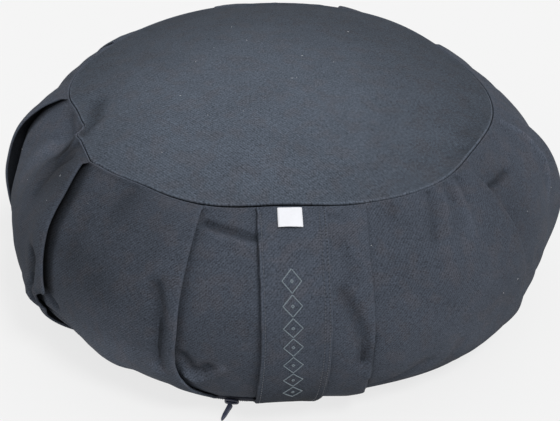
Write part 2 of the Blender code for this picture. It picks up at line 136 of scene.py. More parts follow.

# Painted shade of a fold: its reach beside the fold from the mildest to the darkest, and its shares of full
# darkness
SHADE_REACH = (2.0 * MM, 7.0 * MM)
INSIDE_REACH = 4.0 * MM
EDGE_SHADE = 0.62
INSIDE_SHADE = 0.30
NOSE_SHADE = 0.6
UNDER_SHADE = (0.75, 0.92)
# Painted highlight along each flap's fold edge and nose: its least share, and its share on the cloth just
# before the nose
HIGHLIGHT_LEAST = 0.25
PANEL_EDGE_HIGHLIGHT = 0.6
PANEL_CLOTH_STEP = 0.31

# Creases fade out at the seams over this share of the side.
CREASE_RAMP = 0.07
FINE_RAMP = 0.02

# A distance to a crease counts no further than this, in metres on the side and in mm on the top panel.
FARTHEST = 9.0

# Main creases: a soft trough below zero or a ridge above it, in mm, through points of azimuth and drop. Tone
# darkens a trough as painted shade and lightens a ridge as painted highlight.
CREASES = rows(
    "depth width tone path",
    (-3.2, 2.6, -0.32, ((-16.2, 0.07), (-12.8, 0.09), (-9.0, 0.11), (-4.6, 0.135))),
    (1.4, 2.6, 0.10, ((-15.0, 0.125), (-9.0, 0.148), (-4.6, 0.175))),
    (-4.4, 4.6, -0.30, ((-22.6, 0.35), (-21.4, 0.42), (-21.2, 0.52), (-22.0, 0.71))),
    (-3.0, 3.4, -0.28, ((-17.2, 0.65), (-15.6, 0.72), (-13.8, 0.725), (-12.4, 0.69))),
    (2.4, 2.2, 0.24, ((-17.0, 0.755), (-15.2, 0.785), (-12.6, 0.745), (-9.8, 0.68))),
    (-2.0, 5.0, -0.06, ((12.8, 0.17), (14.0, 0.30))),
    (-3.6, 4.0, -0.24, ((12.2, 0.34), (13.5, 0.42), (14.8, 0.50), (15.4, 0.57), (15.2, 0.64))),
    (2.0, 2.6, 0.07, ((16.9, 0.56), (16.2, 0.72))),
    (-2.6, 2.1, -0.32, ((55.4, 0.158), (59.0, 0.170), (64.0, 0.172))),
    (-4.0, 9.0, 0, ((-82.0, 0.02), (-74.0, 0.14))),
    (-3.2, 4.2, -0.50, ((-54.8, 0.47), (-53.6, 0.485), (-54.0, 0.54), (-55.2, 0.60))),
    (-1.6, 2.2, -0.30, ((-55.2, 0.60), (-55.0, 0.67), (-53.5, 0.72))),
    (-3.5, 3.2, -0.35, ((-51.0, 0.64), (-48.0, 0.68))),
    (-3.2, 5.2, -0.30, ((-71.5, 0.035), (-68.4, 0.08), (-68.2, 0.12))),
    (-2.5, 4.5, 0, ((19.0, 0.93), (24.0, 0.86), (29.0, 0.78))),
)

# Small creases, only in the cloth, their tone painted shade and painted highlight as above
FINE_CREASES = rows(
    "depth width tone path",
    (-1.6, 2.2, -0.14, ((37.5, 0.02), (35.5, 0.10), (33.0, 0.22))),
    (-1.2, 1.8, -0.13, ((43.0, 0.02), (42.2, 0.10))),
    (-1.3, 2.0, -0.13, ((47.0, 0.02), (45.6, 0.12))),
    (1.4, 2.6, 0.13, ((45.0, 0.06), (43.6, 0.16), (42.6, 0.26))),
    (1.3, 2.4, 0.12, ((40.0, 0.05), (38.6, 0.14), (36.6, 0.22))),
    (-1.3, 2.0, -0.12, ((27.0, 0.02), (25.6, 0.09))),
    (-0.8, 1.8, 0, ((12.2, 0.05), (15.5, 0.03))),
    (-1.2, 3.0, 0, ((-73.0, 0.02), (-78.0, 0.14), (-86.0, 0.30))),
    (1.8, 1.8, 0.16, ((-66.6, 0.01), (-65.0, 0.07), (-64.6, 0.13))),
    (1.6, 1.6, 0.32, ((79.0, 0.03), (79.6, 0.17), (79.0, 0.30), (76.5, 0.39), (72.5, 0.44))),
    (-0.9, 2.0, -0.10, ((12.4, 0.04), (14.8, 0.06))),
    (-1.2, 1.3, -0.50, ((17.6, 0.55), (17.1, 0.60), (16.8, 0.66), (16.7, 0.74), (17.0, 0.85))),
    (-1.0, 2.4, -0.12, ((-60.0, 0.06), (-63.0, 0.16), (-63.5, 0.30))),
    (-0.7, 2.4, 0, ((-30.0, 0.02), (-31.0, 0.12))),
    (-0.6, 2.0, 0, ((-36.5, 0.02), (-37.5, 0.09))),
    (-0.7, 2.2, 0, ((-44.0, 0.02), (-46.0, 0.13))),
    (-1.6, 3.0, 0, ((-58.0, 0.79), (-53.0, 0.76), (-47.0, 0.80))),
    (1.4, 3.0, 0, ((-57.0, 0.70), (-51.5, 0.72), (-46.5, 0.68))),
    (-0.8, 3.0, 0, ((70.0, 0.03), (68.0, 0.13))),
    (-0.7, 2.4, 0, ((77.0, 0.02), (76.0, 0.10))),
    (-1.0, 4.0, 0, ((64.0, 0.60), (69.0, 0.80))),
    (-0.9, 4.0, 0, ((36.0, 0.72), (33.0, 0.92))),
    (-0.9, 3.5, 0, ((-33.0, 0.76), (-30.0, 0.95))),
    (-1.0, 4.0, 0, ((104.0, 0.03), (106.0, 0.20))),
    (-1.0, 4.0, 0, ((143.0, 0.03), (141.0, 0.18))),
    (-1.0, 4.0, 0, ((-104.0, 0.04), (-107.0, 0.22))),
    (-1.0, 4.0, 0, ((-143.0, 0.03), (-146.0, 0.20))),
    (-1.0, 4.0, 0, ((178.0, 0.03), (175.0, 0.22))),
)

# Creases of the top panel, through points of x and y in mm; tone darkens them as painted shade
TOP_CREASES = rows(
    "depth width tone path",
    (-2.4, 5.4, -0.28, ((-119, -48), (-113, -34), (-112, -14))),
    (-0.5, 5.0, 0, ((-117, -6), (-100, 4), (-85, 11))),
    (-1.9, 2.6, -0.12, ((121, -56), (111, -74))),
    (-1.3, 2.0, -0.10, ((110, -66), (101, -80))),
    (-0.9, 5.0, -0.08, ((122, -40), (112, -52))),
    (-0.5, 3.0, 0, ((-66, -112), (-61, -98))),
    (-0.5, 3.0, 0, ((58, -118), (52, -104))),
    (-0.6, 3.5, 0, ((96, 94), (86, 82))),
    (-0.6, 3.5, 0, ((-92, 98), (-84, 86))),
)

# Unevenness of the band's cloth: cells round the side, cell height in mm, and depth in mm
UNEVENNESS = rows(
    "round tall depth seed",
    (26, 46, 1.10, 3),
    (74, 26, 0.50, 4),
    (170, 13, 0.17, 5),
)
SEAM_PUCKERS = dict(round=150, tall=30, depth=0.30, reach=9.0, seed=6)

# Unevenness of the top panel: cell in mm and depth in mm
TOP_UNEVENNESS = rows(
    "cell depth seed",
    (62, 1.0, 11),
    (26, 0.42, 12),
    (12, 0.12, 13),
)
TOP_PUCKERS = dict(round=120, tall=34, depth=0.28, reach=10.0, seed=14)
FOOT_WAVES = dict(round=90, depth=0.25, seed=31)

# Seams
GROOVE = 1.6 * MM
RIM_DROP = 0.2 * MM
BAND_ROLL = 0.8 * MM
BAND_ROLL_TURN = math.radians(125)
BAND_TAIL = (0.3 * MM, 3.0 * MM)
PANEL_ROLL = 1.2 * MM
PANEL_ROLL_TURN = math.radians(150)
PANEL_TAIL = 2.5 * MM
PANEL_RIM = 1.5 * MM
SEAM_OPEN = dict(azimuth=-3, width=26, extra=1.1)
TOP_RIM_LIFT = 0.7 * MM
ROLL_STEPS = 5

# Handle, with the rows of stitches along its edges: inset and depth in mm
HANDLE_WIDTH = 0.0385
HANDLE_THICK = 2.0 * MM
HANDLE_LINE = rows(
    "drop azimuth",
    (0.0, 3.4), (0.6, 3.3), (1.0, 1.7),
)
HANDLE_DROPS = (0.004, 0.988)
HANDLE_GAP = 0.8 * MM
HANDLE_SEWN = 0.20
HANDLE_PANEL = 4
HANDLE_LEFT_GAP = 2.0 * MM
HANDLE_EDGES = (0.9 * MM, 2.4 * MM)
STITCH_PITCH = 2.0 * MM
NEEDLE_HOLE = (0.55 * MM, 0.45 * MM)
STITCH_THREAD = 0.17 * MM
STITCH_ROWS = rows(
    "edge inset depth",
    ("right", 1.6, 0.45),
    ("right", 4.6, 0.28),
    ("left", 2.2, 0.16),
)

# Tag
LABEL_SIZE = (0.0135, 0.0140)
LABEL_THICK = 0.6 * MM
LABEL_LIFT = 0.8 * MM
LABEL_AZIMUTH = 2.9
LABEL_DROP = 0.012
LABEL_RADIUS = 0.14

# Zip
ZIP_AZIMUTHS = (-13.6, -5.6)
ZIP_TAPE_END = 1.7
ZIP_TAPE = (1.2 * MM, 2.8 * MM)
ZIP_HEIGHT = 7.6 * MM
ZIP_RADIUS = 0.158
ZIP_STAND_OFF = 0.4 * MM
TOOTH_PITCH = 1.3 * MM
SLIDER_AZIMUTH = -9.5
SLIDER_SIZE = (8.8 * MM, 3.0 * MM, 4.0 * MM)
PULL_LENGTH = 8.8 * MM
PULL_THICK = 1.4 * MM
PULL_TURN = -29
PULL_ROOT = 0.5 * MM
PULL_OUTLINE = ((0.0, 3.4), (0.12, 3.7), (0.3, 3.3), (0.65, 3.1), (0.88, 2.0), (1.0, 0.9))
PULL_FLOOR_GAP = 0.5 * MM

# Ornament down the handle: a linked chain of plain lozenges with a dot in each, in mm
CHAIN_AZIMUTH = 2.7
CHAIN_DROPS = (0.29, 0.77)
CHAIN_COUNT = 7
CHAIN_RADIUS = 0.178
LOZENGE = (5.2, 5.6)
SMALL_LOZENGE = (0.7, 0.8)
THREAD = 0.30 * MM

# Mesh steps, and the share of the side over which its slope is read
NORMAL_STEP = 1 / 250
HANDLE_STEPS = (280, 74)
LABEL_STEPS = 40
ZIP_STEPS = (60, 17)
SIDE_ROWS = 104
PANEL_STEPS = 78
NOSE_STEPS = 6
TOP_RINGS = 74
TOP_SPOKES = 300

# Tone of the cloth, painted light and shade: darker from a drop down, at the top panel's rim and in a few
# places as painted shade, lighter in some places as painted light, and lighter along rolled edges as painted
# highlights (sizes in mm)
# Painted shade towards the foot of the band and of the handle
FOOT_SHADE = dict(amount=0.14, drop=0.72, over=0.28)
HANDLE_FOOT_SHADE = dict(amount=0.70, drop=0.62, over=0.36)
# Painted shade of the top panel, growing away from a place near its front middle
TOP_RIM_SHADE = dict(x=-14, y=-45, reach=170, start=0.20, amount=0.44)
TONE_LEAST = 0.15
ROLL_HIGHLIGHT = dict(least=0.45, more=0.65, azimuth=-58, width=26)
# Painted shade down a rolled seam edge into its groove, row by row
ROLL_TONES = (1.0, 0.95, 0.7, 0.4, 0.25, 0.2)
# Share of painted highlight along the top panel's rim and roll
PANEL_EDGE = 0.12
# Patches of painted light where tone is above zero and of painted shade where it is below
TONES = rows(
    "azimuth drop wide tall tone",
    (-37, 0.09, 13, 11, -0.20),
    (-34, 0.42, 14, 15, -0.13),
    (-67, 0.07, 12, 11, -0.28),
    (-62, 0.11, 27, 27, -0.48),
    (-60, 0.36, 24, 34, -0.14),
    (-76, 0.20, 11, 20, 0.34),
    (-36, 0.28, 44, 50, -0.26),
    (-33, 0.77, 40, 26, 0.70),
    (-43, 0.36, 15, 26, -0.18),
    (14, 0.80, 8, 22, -0.10),
    (17, 0.05, 16, 7, 0.07),
    (-92, 0.20, 16, 16, 0.10),
    (-40.5, 0.20, 6, 22, 0.09),
    (-26, 0.22, 9, 12, -0.07),
    (-30, 0.52, 12, 9, 0.05),
    (57, 0.27, 30, 38, -0.22),
    (38, 0.16, 22, 14, -0.10),
    (28, 0.28, 30, 34, -0.09),
    (34, 0.68, 36, 26, 0.14),
    (-58, 0.22, 10, 26, 0.06),
)

# How dark the painted shade in the top seam's groove is, by azimuth
SEAM_GROOVE_SHADE = rows(
    "azimuth dark",
    (-170, 0.5), (-120, 0.2), (-100, 0.0), (-62, 0.05), (-50, 0.15), (-34, 0.45), (-20, 0.8), (-3, 1.0),
    (14, 0.85), (26, 0.45), (46, 0.45), (60, 0.75), (80, 0.7), (120, 0.5),
)

# Floor and light. The room is brightest overhead and dim below.
FLOOR_REACH = 6.0 * math.sqrt(2)
FLOOR_LEVEL = -0.3 * MM
FLOOR_SHADE = 0.12
FLOOR_GLOW = 0.76
ROOM_LEVEL = 0.66
ROOM_RISE = 0.14
LAMP = dict(azimuth=36, elevation=56, spread=18, power=2.0)

# Camera: degrees up, radians of tilt and yaw, metres from its aim, and its focal length in pixels
CAMERA = dict(lift=30.3, tilt=0.0287, yaw=0.0024, away=0.9, aim=0.07, focal=1365)
IMAGE_WIDTH = 560
SENSOR_WIDTH = 36

# Colours. The panel colour is lighter than the band's, painted light on the same cloth lit more from above.
BAND_COLOUR = (0.0512, 0.0602, 0.0785)
PANEL_COLOUR = (0.0735, 0.0885, 0.1135)
HANDLE_COLOUR = (0.0508, 0.0600, 0.0785)
WARM = (0.080, 0.070, 0.074)
THREAD_COLOUR = (0.115, 0.15, 0.175)
TAG_COLOUR = (0.74, 0.75, 0.79)
ZIP_COLOUR = (0.022, 0.026, 0.040)
ENAMEL_COLOUR = (0.030, 0.034, 0.060)
LINT_COLOUR = (0.58, 0.60, 0.62)

# Weave: the wave texture's scale for one rib to a unit, cells in metres, and mottles as cell and weight
RIB_SCALE = 0.314159
TWILL_CELL = 1.4 * MM
SLUB = (2.2 * MM, 0.6 * MM)
MOTTLES = ((7 * MM, 0.26), (18 * MM, 0.22), (45 * MM, 0.16))
WARM_CELL = 10 * MM
WARM_MOST = 0.20
# How much the edge share lightens the colour as painted highlight, and how much the needle holes darken it
# as painted shade
EDGE_HIGHLIGHT = 0.28
PIT_SHADE = 0.75

# Stray fibres, and the azimuth and drop of those that show best
LINT_COUNT = 26
LINT_THREAD = 0.09 * MM
LINT_REACH = 108
LINT_SPECKS = ((-57.5, 0.14), (-46.0, 0.17), (19.8, 0.18), (76.8, 0.42))


def smooth(x):
    """Ease from 0 to 1."""
    x = np.clip(x, 0.0, 1.0)
    return x * x * (3.0 - 2.0 * x)


def bell(x):
    """Bell curve, 1 at zero."""
    return np.exp(-x ** 2)


def wrapped(azimuth):
    """Azimuth from -180 to 180 degrees."""
    return (azimuth + 180) % 360 - 180


def curve_through(x, knots, values, period=None):
    """Cubic curve through the knots, read at x. A period closes it."""
    x, knots, values = (np.asarray(given, float) for given in (x, knots, values))
    if period:
        x = (x - knots[0]) % period + knots[0]
        knots = np.concatenate([knots[-2:] - period, knots, knots[:2] + period])
        values = np.concatenate([values[-2:], values, values[:2]])
    slopes = np.gradient(values, knots)
    k = np.clip(np.searchsorted(knots, x, side="right") - 1, 0, len(knots) - 2)
    span = knots[k + 1] - knots[k]
    t = (x - knots[k]) / span
    rest = 1.0 - t
    ends = values[k] * rest * rest * (1 + 2 * t) + values[k + 1] * t * t * (3 - 2 * t)
    return ends + span * (slopes[k] * t * rest * rest - slopes[k + 1] * t * t * rest)


def read_table(table, knot, name, x, period=None):
    """Curve through one column of a table, read at x."""
    return curve_through(x, [row[knot] for row in table], [row[name] for row in table], period)


def soft_noise(x, y, seed, wrap=0):
    """Smooth noise from -1 to 1 over x and y in cells. Wrap closes it after that many cells along x."""
    size = 512
    table = np.random.RandomState(seed).uniform(-1, 1, (size, size))
    left, low = np.floor(x).astype(int), np.floor(y).astype(int)
    across, up = smooth(x - left), smooth(y - low)
    columns = (left % (wrap or size), (left + 1) % (wrap or size))
    lower, upper = (table[row, columns[0]] * (1 - across) + table[row, columns[1]] * across
                    for row in (low % size, (low + 1) % size))
    return lower * (1 - up) + upper * up


def ring_place(azimuth, radius, height):
    """Point at an azimuth, radius and height."""
    angle = np.radians(azimuth)
    return np.stack(np.broadcast_arrays(radius * np.sin(angle), -radius * np.cos(angle), height), -1)


def ring_shape(azimuth, column):
    """One column of the ring table at an azimuth, in metres."""
    return read_table(RING_SHAPE, "azimuth", column, azimuth, 360) * MM


def seam_ring(azimuth):
    """How far the top seam stands out from its plain radius, its small corners too, in metres."""
    corners = sum(corner["out"] * MM * bell(wrapped(azimuth - corner["azimuth"]) / corner["width"])
                  for corner in SEAM_CORNERS)
    return ring_shape(azimuth, "seam") + corners


def plain_side(azimuth, drop):
    """Radius and height of the side without folds."""
    radius = read_table(SIDE_PROFILE, "drop", "radius", drop)
    height = read_table(SIDE_PROFILE, "drop", "height", drop)
    near_seam = 1.0 - smooth(drop / SEAM_REACH)
    near_foot = smooth((drop - 1.0) / FOOT_REACH + 1.0)
    radius = radius + near_seam * seam_ring(azimuth) + near_foot * ring_shape(azimuth, "foot")
    radius = radius + (1.0 - near_seam - near_foot) * ring_shape(azimuth, "girth")
    return radius, height + near_seam * ring_shape(azimuth, "rise")


def seam_fade(drop, share):
    """Ease from 0 at both seams to 1 within a share of the side."""
    return smooth(drop / share) * smooth((1 - drop) / share)


def distance_to_path(x, y, points):
    """Distance from each place to a broken line through the points."""
    nearest = np.full(np.broadcast(x, y).shape, FARTHEST)
    for start, end in zip(points[:-1], points[1:]):
        run, rise = end[0] - start[0], end[1] - start[1]
        share = np.clip(((x - start[0]) * run + (y - start[1]) * rise) / (run ** 2 + rise ** 2), 0, 1)
        nearest = np.minimum(nearest, np.hypot(x - start[0] - share * run, y - start[1] - share * rise))
    return nearest


def near_crease(azimuth, drop, crease):
    """Nearness from 0 to 1 of each place on the side to a crease's middle line."""
    path = np.array(crease["path"])
    radius = plain_side(path[:, 0].mean(), path[:, 1].mean())[0]
    points = np.stack([np.radians(path[:, 0]) * radius, path[:, 1] * SIDE_LENGTH], 1)
    nearest = distance_to_path(np.radians(wrapped(azimuth)) * radius, drop * SIDE_LENGTH, points)
    return bell(nearest / (crease["width"] * MM))


def crease_relief(azimuth, drop, creases):
    """How far a table's creases push the side out, in metres."""
    return sum(crease["depth"] * MM * near_crease(azimuth, drop, crease) for crease in creases)


def puckers(turns, near, kind, shift=0):
    """Height of the small puckers beside a seam, in mm. Near is the distance from it, in mm."""
    noise = soft_noise(turns * kind["round"], near / kind["tall"] + shift, kind["seed"], kind["round"])
    return kind["depth"] * noise * np.exp(-near / kind["reach"])


def uneven_relief(azimuth, drop):
    """The band cloth's own soft unevenness and the puckers beside its seams."""
    turns = azimuth / 360 + 0.5
    offset = np.zeros(np.broadcast(azimuth, drop).shape)
    for level in UNEVENNESS:
        height = drop * SIDE_LENGTH / (level["tall"] * MM)
        noise = soft_noise(turns * level["round"] + 0.6 * height, height, level["seed"], level["round"])
        offset = offset + level["depth"] * MM * noise
    near = np.minimum(drop, 1 - drop) * SIDE_LENGTH / MM
    return offset + puckers(turns, near, SEAM_PUCKERS, (drop > 0.5) * 9) * MM


def relief(azimuth, drop):
    """All that pushes the cloth in or out of the plain side, in metres."""
    fine = crease_relief(azimuth, drop, FINE_CREASES) + uneven_relief(azimuth, drop)
    main = crease_relief(azimuth, drop, CREASES) * seam_fade(drop, CREASE_RAMP)
    return main + fine * seam_fade(drop, FINE_RAMP)


def side_point(azimuth, drop, out):
    """Point on the side, pushed out along the side's own normal."""
    low_r, low_z = plain_side(azimuth, np.clip(drop + NORMAL_STEP, 0, 1))
    high_r, high_z = plain_side(azimuth, np.clip(drop - NORMAL_STEP, 0, 1))
    run, fall = low_r - high_r, high_z - low_z
    length = np.hypot(run, fall)
    radius, height = plain_side(azimuth, drop)
    out = out + relief(azimuth, drop)
    return ring_place(azimuth, radius + out * fall / length, height + out * run / length)


def pleat_shade(index, drop):
    """How dark a pleat's painted fold shade is at each drop."""
    return curve_through(drop, PLEAT_DROPS, PLEATS[index % len(PLEATS)]["shade"])


def pleat_at(index, drop):
    """Azimuth, lift, mouth, fold radius, tuck depth and tuck gap of a pleat at each drop."""
    turns, number = divmod(index, len(PLEATS))
    pleat = PLEATS[number]
    ramp = seam_fade(drop, SEAM_RAMP)
    azimuth = curve_through(drop, PLEAT_DROPS, pleat["azimuth"]) + 360 * turns
    if number == KINK["pleat"]:
        started = smooth((drop - KINK["start"]) / KINK["width"])
        azimuth = azimuth + KINK["degrees"] * started * smooth((1 - drop) / KINK["fade"])
    lift = curve_through(drop, PLEAT_DROPS, pleat["lift"]) * MM * ramp
    mouth = curve_through(drop, PLEAT_DROPS, pleat["mouth"]) * MM * ramp
    return azimuth, lift, mouth, FOLD_RADIUS * ramp, pleat["tuck"] * MM * ramp, TUCK_END_GAP * ramp


def flap_height(lift, across):
    """Height of a flap's outer face at a distance across from its edge (negative on the flap)."""
    return lift * smooth(1 + across / FLAP_RISE_WIDTH)


def fold_shade(index, azimuth, drop):
    """Painted shade from 0 to 1 of the cloth inside and beside the pleat at a panel's left end."""
    from_left = np.radians(azimuth - pleat_at(index, drop)[0]) * plain_side(azimuth, drop)[0]
    shade = pleat_shade(index, drop)
    reach = SHADE_REACH[0] + (SHADE_REACH[1] - SHADE_REACH[0]) * shade
    beside = EDGE_SHADE * (1 - smooth(from_left / reach))
    inside = EDGE_SHADE + INSIDE_SHADE * smooth(-from_left / INSIDE_REACH)
    return shade * np.where(from_left < 0, inside, beside)


def panel_offset(index, azimuth, drop):
    """How far the cloth between pleat index and the next stands out."""
    left_az, left_lift, mouth, fold, tuck, end_gap = pleat_at(index, drop)
    right_az, right_lift = pleat_at(index + 1, drop)[:2]
    radius = plain_side(azimuth, drop)[0]
    from_left = np.radians(azimuth - left_az) * radius
    from_right = np.radians(azimuth - right_az) * radius
    beside = (left_lift - 2 * fold - mouth) * (1 - smooth(from_left / UNDER_RISE_WIDTH))
    depth_share = np.clip(1 + from_left / np.maximum(tuck, 1e-9), 0, 1)
    gap = end_gap + (mouth - end_gap) * depth_share
    under = flap_height(left_lift, from_left) - 2 * fold - gap
    level = np.where(from_left < 0, under, beside)
    share = np.clip((azimuth - left_az) / (right_az - left_az), 0, 1)
    bulge = PANEL_BULGE * 4 * share * (1 - share) * np.sin(np.pi * drop)
    return level + flap_height(right_lift, from_right) * (from_left > 0) + bulge


def band_section(drop):
    """Azimuths, offsets, cloth places, shares of painted edge highlight and painted fold shade tones of the
    folded cloth, once round.
    """
    panels = []
    even = np.linspace(0, 1, PANEL_STEPS)
    shares = 0.6 * (0.5 - 0.5 * np.cos(np.pi * even)) + 0.4 * even
    steps = np.arange(1, NOSE_STEPS + 1)[None, :]
    turn = np.pi * steps / (NOSE_STEPS + 1)
    for index in range(len(PLEATS)):
        left_az, _, _, _, left_tuck, _ = pleat_at(index, drop)
        right_az, right_lift, _, fold, tuck, _ = pleat_at(index + 1, drop)
        radius = plain_side(right_az, drop)[0]
        degrees = np.degrees(1 / radius)
        start = left_az - left_tuck * degrees
        end = right_az - fold * degrees
        panel = start + (end - start) * shares
        offset = panel_offset(index, panel, drop)
        edge_height = offset[:, -1:]
        nose_height = edge_height - fold * (1 - np.cos(turn))
        tuck_height = flap_height(right_lift, -tuck) - 2 * fold
        cloth = np.radians(panel - (left_az + right_az) / 2) * radius + PANEL_CLOTH_STEP * index
        edge_cloth = cloth[:, -1:]
        under = edge_cloth + np.pi * fold
        # Painted shade inside the fold, on its nose and on the cloth under the flap
        shade = pleat_shade(index + 1, drop)
        nose_shade = shade * NOSE_SHADE * smooth((steps - 3) / (NOSE_STEPS - 2))
        # Painted highlight along the fold edge and over the nose, stronger where the fold's painted shade is
        # darker
        edge_light = HIGHLIGHT_LEAST + (1 - HIGHLIGHT_LEAST) * np.minimum(2 * shade, 1)
        wear_and_highlight = PANEL_EDGE_HIGHLIGHT * edge_light * bell((panel - end) / (0.7 * MM * degrees))
        panels.append((
            np.hstack([panel, end + fold * np.sin(turn) * degrees, end, right_az - tuck * degrees]),
            np.hstack([offset, nose_height, edge_height - 2 * fold, tuck_height]),
            np.hstack([cloth, edge_cloth + turn * fold, under, under + tuck]),
            np.hstack([wear_and_highlight, edge_light * np.sin(turn), np.zeros((len(drop), 2))]),
            1 - np.hstack([fold_shade(index, panel, drop), nose_shade, shade * UNDER_SHADE]),
        ))
    return [np.hstack(part) for part in zip(*panels)]


def crown_height(azimuth, share):
    """Height of the top panel's outer face. Share is 0 at the middle and 1 at its rim."""
    rim = plain_side(azimuth, 0.0)[1] - RIM_DROP
    return CROWN_HEIGHT - (CROWN_HEIGHT - rim) * share ** CROWN_POWER


def base_height(azimuth, radius):
    """Height of the bottom panel's lower face: flat, then up to the bottom seam."""
    foot_radius, foot_height = plain_side(azimuth, 1.0)
    rise = np.clip((radius - FLAT_RADIUS) / (foot_radius - GROOVE - FLAT_RADIUS), 0, 1)
    return (foot_height - RIM_DROP) * rise ** 2


def handle_surface(azimuth, drop, out):
    """Point over the front panel between the two pleats beside the handle."""
    return side_point(azimuth, drop, panel_offset(HANDLE_PANEL, azimuth, drop) + out)


def handle_azimuth(drop):
    """Azimuth of the handle's middle line, which leans a little at its foot."""
    return read_table(HANDLE_LINE, "drop", "azimuth", drop)


def near_handle_edge(across):
    """Ease from 0 to 1 over the outer tenth of the handle's width."""
    return smooth((across / HANDLE_WIDTH - 0.40) / 0.10)


def handle_inner_level(across, drop):
    """How far the handle's inner face stands off the side, most at its free left edge."""
    free = seam_fade(drop, HANDLE_SEWN)
    pressed = 0.5 * MM * near_handle_edge(across)
    return HANDLE_GAP - pressed + HANDLE_LEFT_GAP * free * smooth(0.5 - across / HANDLE_WIDTH)


def stitch_place(row):
    """How far a row of stitches lies from the handle's middle line."""
    place = HANDLE_WIDTH / 2 - row["inset"] * MM
    return place if row["edge"] == "right" else -place


def stitch_pits(across, along):
    """Depth of the needle holes along the handle's edges, in metres, and their painted shade from 0 to 1."""
    depth = dark = np.zeros(np.broadcast(across, along).shape)
    beat = (along / STITCH_PITCH + 0.5) % 1 - 0.5
    for row in STITCH_ROWS:
        channel = bell((across - stitch_place(row)) / NEEDLE_HOLE[0])
        hole = channel * bell(beat * STITCH_PITCH / NEEDLE_HOLE[1])
        depth = depth + row["depth"] * MM * (0.65 * hole + 0.35 * channel)
        dark = np.maximum(dark, hole * row["depth"] / STITCH_ROWS[0]["depth"])
    return depth, dark


def handle_outer_level(across, drop):
    """How far the handle's outer face stands off the side: rounded edges, slight waves and needle holes."""
    left = np.clip((across + HANDLE_WIDTH / 2) / HANDLE_EDGES[0], 0, 1)
    right = np.clip((HANDLE_WIDTH / 2 - across) / HANDLE_EDGES[1], 0, 1)
    full = np.sqrt(1 - (1 - left) ** 2) * np.sqrt(1 - (1 - right) ** 2)
    along = drop * SIDE_LENGTH
    waves = 0.10 * MM * soft_noise(across / (7 * MM) + 40, along / (16 * MM), 21)
    level = handle_inner_level(across, drop) + HANDLE_THICK * (0.12 + 0.88 * full)
    return level + waves * full - stitch_pits(across, along)[0]


def grid_faces(rows, columns, closed):
    """Quads of a grid of points. Closed rows run all the way round."""
    starts = np.arange(rows - 1)[:, None] * columns
    across = np.arange(columns if closed else columns - 1)[None, :]
    here, after = starts + across, starts + (across + 1) % columns
    return np.stack([here, here + columns, after + columns, after], -1).reshape(-1, 4)


def add_object(name, points, faces, look, cloth=None, shares=None):
    """Mesh object with its cloth coordinates as a UV map, in metres, and shares as point attributes."""
    mesh = bpy.data.meshes.new(name)
    mesh.from_pydata(np.asarray(points, float).reshape(-1, 3).tolist(), [], [list(f) for f in faces])
    if cloth is not None:
        corners = np.zeros(len(mesh.loops), int)
        mesh.loops.foreach_get("vertex_index", corners)
        layer = mesh.uv_layers.new(name="cloth")
        layer.data.foreach_set("uv", np.asarray(cloth, float).reshape(-1, 2)[corners].ravel())
    for key, values in (shares or {}).items():
        attribute = mesh.attributes.new(key, "FLOAT", "POINT")
        attribute.data.foreach_set("value", np.asarray(values, np.float32).ravel())
    mesh.materials.append(look)
    mesh.shade_smooth()
    mesh.validate()
    made = bpy.data.objects.new(name, mesh)
    bpy.context.scene.collection.objects.link(made)
    return made


def add_disc(name, rings, look):
    """Object from rings of points, edge shares and tones, the first ring filled to its middle."""
    columns = len(rings[0][0])
    points, edges, tones = zip(*rings)
    flat = np.concatenate([*points, points[0].mean(0)[None]])
    faces = grid_faces(len(rings), columns, True).tolist()
    faces += [(len(rings) * columns, k, (k + 1) % columns) for k in range(columns)]
    shares = {"edge": [np.broadcast_to(edge, columns) for edge in edges] + [[0.0]],
              "tone": [np.broadcast_to(tone, columns) for tone in tones] + [[1.0]]}
    shares = {key: np.concatenate(values) for key, values in shares.items()}
    return add_object(name, flat, faces, look, flat[:, :2], shares)


def add_closed_sheet(name, outer, inner, look, across, along, **shares):
    """Thin closed sheet between two equal grids of points, with its places across and along the cloth."""
    rows, columns = outer.shape[:2]
    count = rows * columns
    faces = grid_faces(rows, columns, False)
    number = np.arange(count).reshape(rows, columns)
    rim = np.concatenate([number[0], number[1:-1, -1], number[-1, ::-1], number[-2:0:-1, 0]])
    after = np.roll(rim, -1)
    sides = np.stack([rim, after, after + count, rim + count], 1)
    both = np.concatenate([faces, faces[:, ::-1] + count, sides]).tolist()
    points = np.concatenate([outer.reshape(-1, 3), inner.reshape(-1, 3)])
    cloth = np.stack(np.broadcast_arrays(across, along), -1).reshape(-1, 2)
    for key, values in shares.items():
        shares[key] = np.tile(np.broadcast_to(values, number.shape).ravel(), 2)
    return add_object(name, points, both, look, np.tile(cloth, (2, 1)), shares)


def tube_points(line, normals, radius, sides=6):
    """Rings of points round a line. Radius may be one number for each point."""
    along = np.gradient(line, axis=0)
    along = along / np.linalg.norm(along, axis=1, keepdims=True)
    beside = np.cross(along, normals)
    beside = beside / np.linalg.norm(beside, axis=1, keepdims=True)
    up = np.cross(beside, along)
    turn = 2 * np.pi * np.arange(sides) / sides
    radius = np.broadcast_to(radius, (len(line),))[:, None, None]
    spread = np.cos(turn)[None, :, None] * beside[:, None, :] + np.sin(turn)[None, :, None] * up[:, None, :]
    return line[:, None, :] + radius * spread


def add_tubes(name, tubes, look):
    """One object from many tubes, their ends filled."""
    points, faces, base = [], [], 0
    for tube in tubes:
        rows, sides = tube.shape[:2]
        points.append(tube.reshape(-1, 3))
        faces += (grid_faces(rows, sides, True) + base).tolist()
        faces.append([base + k for k in range(sides)])
        faces.append([base + (rows - 1) * sides + k for k in range(sides)][::-1])
        base += rows * sides
    return add_object(name, np.concatenate(points), faces, look)


def shaded_below(drop, low_shade):
    """Tone of cloth darkened from a drop down, as painted shade."""
    return 1 - low_shade["amount"] * smooth((drop - low_shade["drop"]) / low_shade["over"])


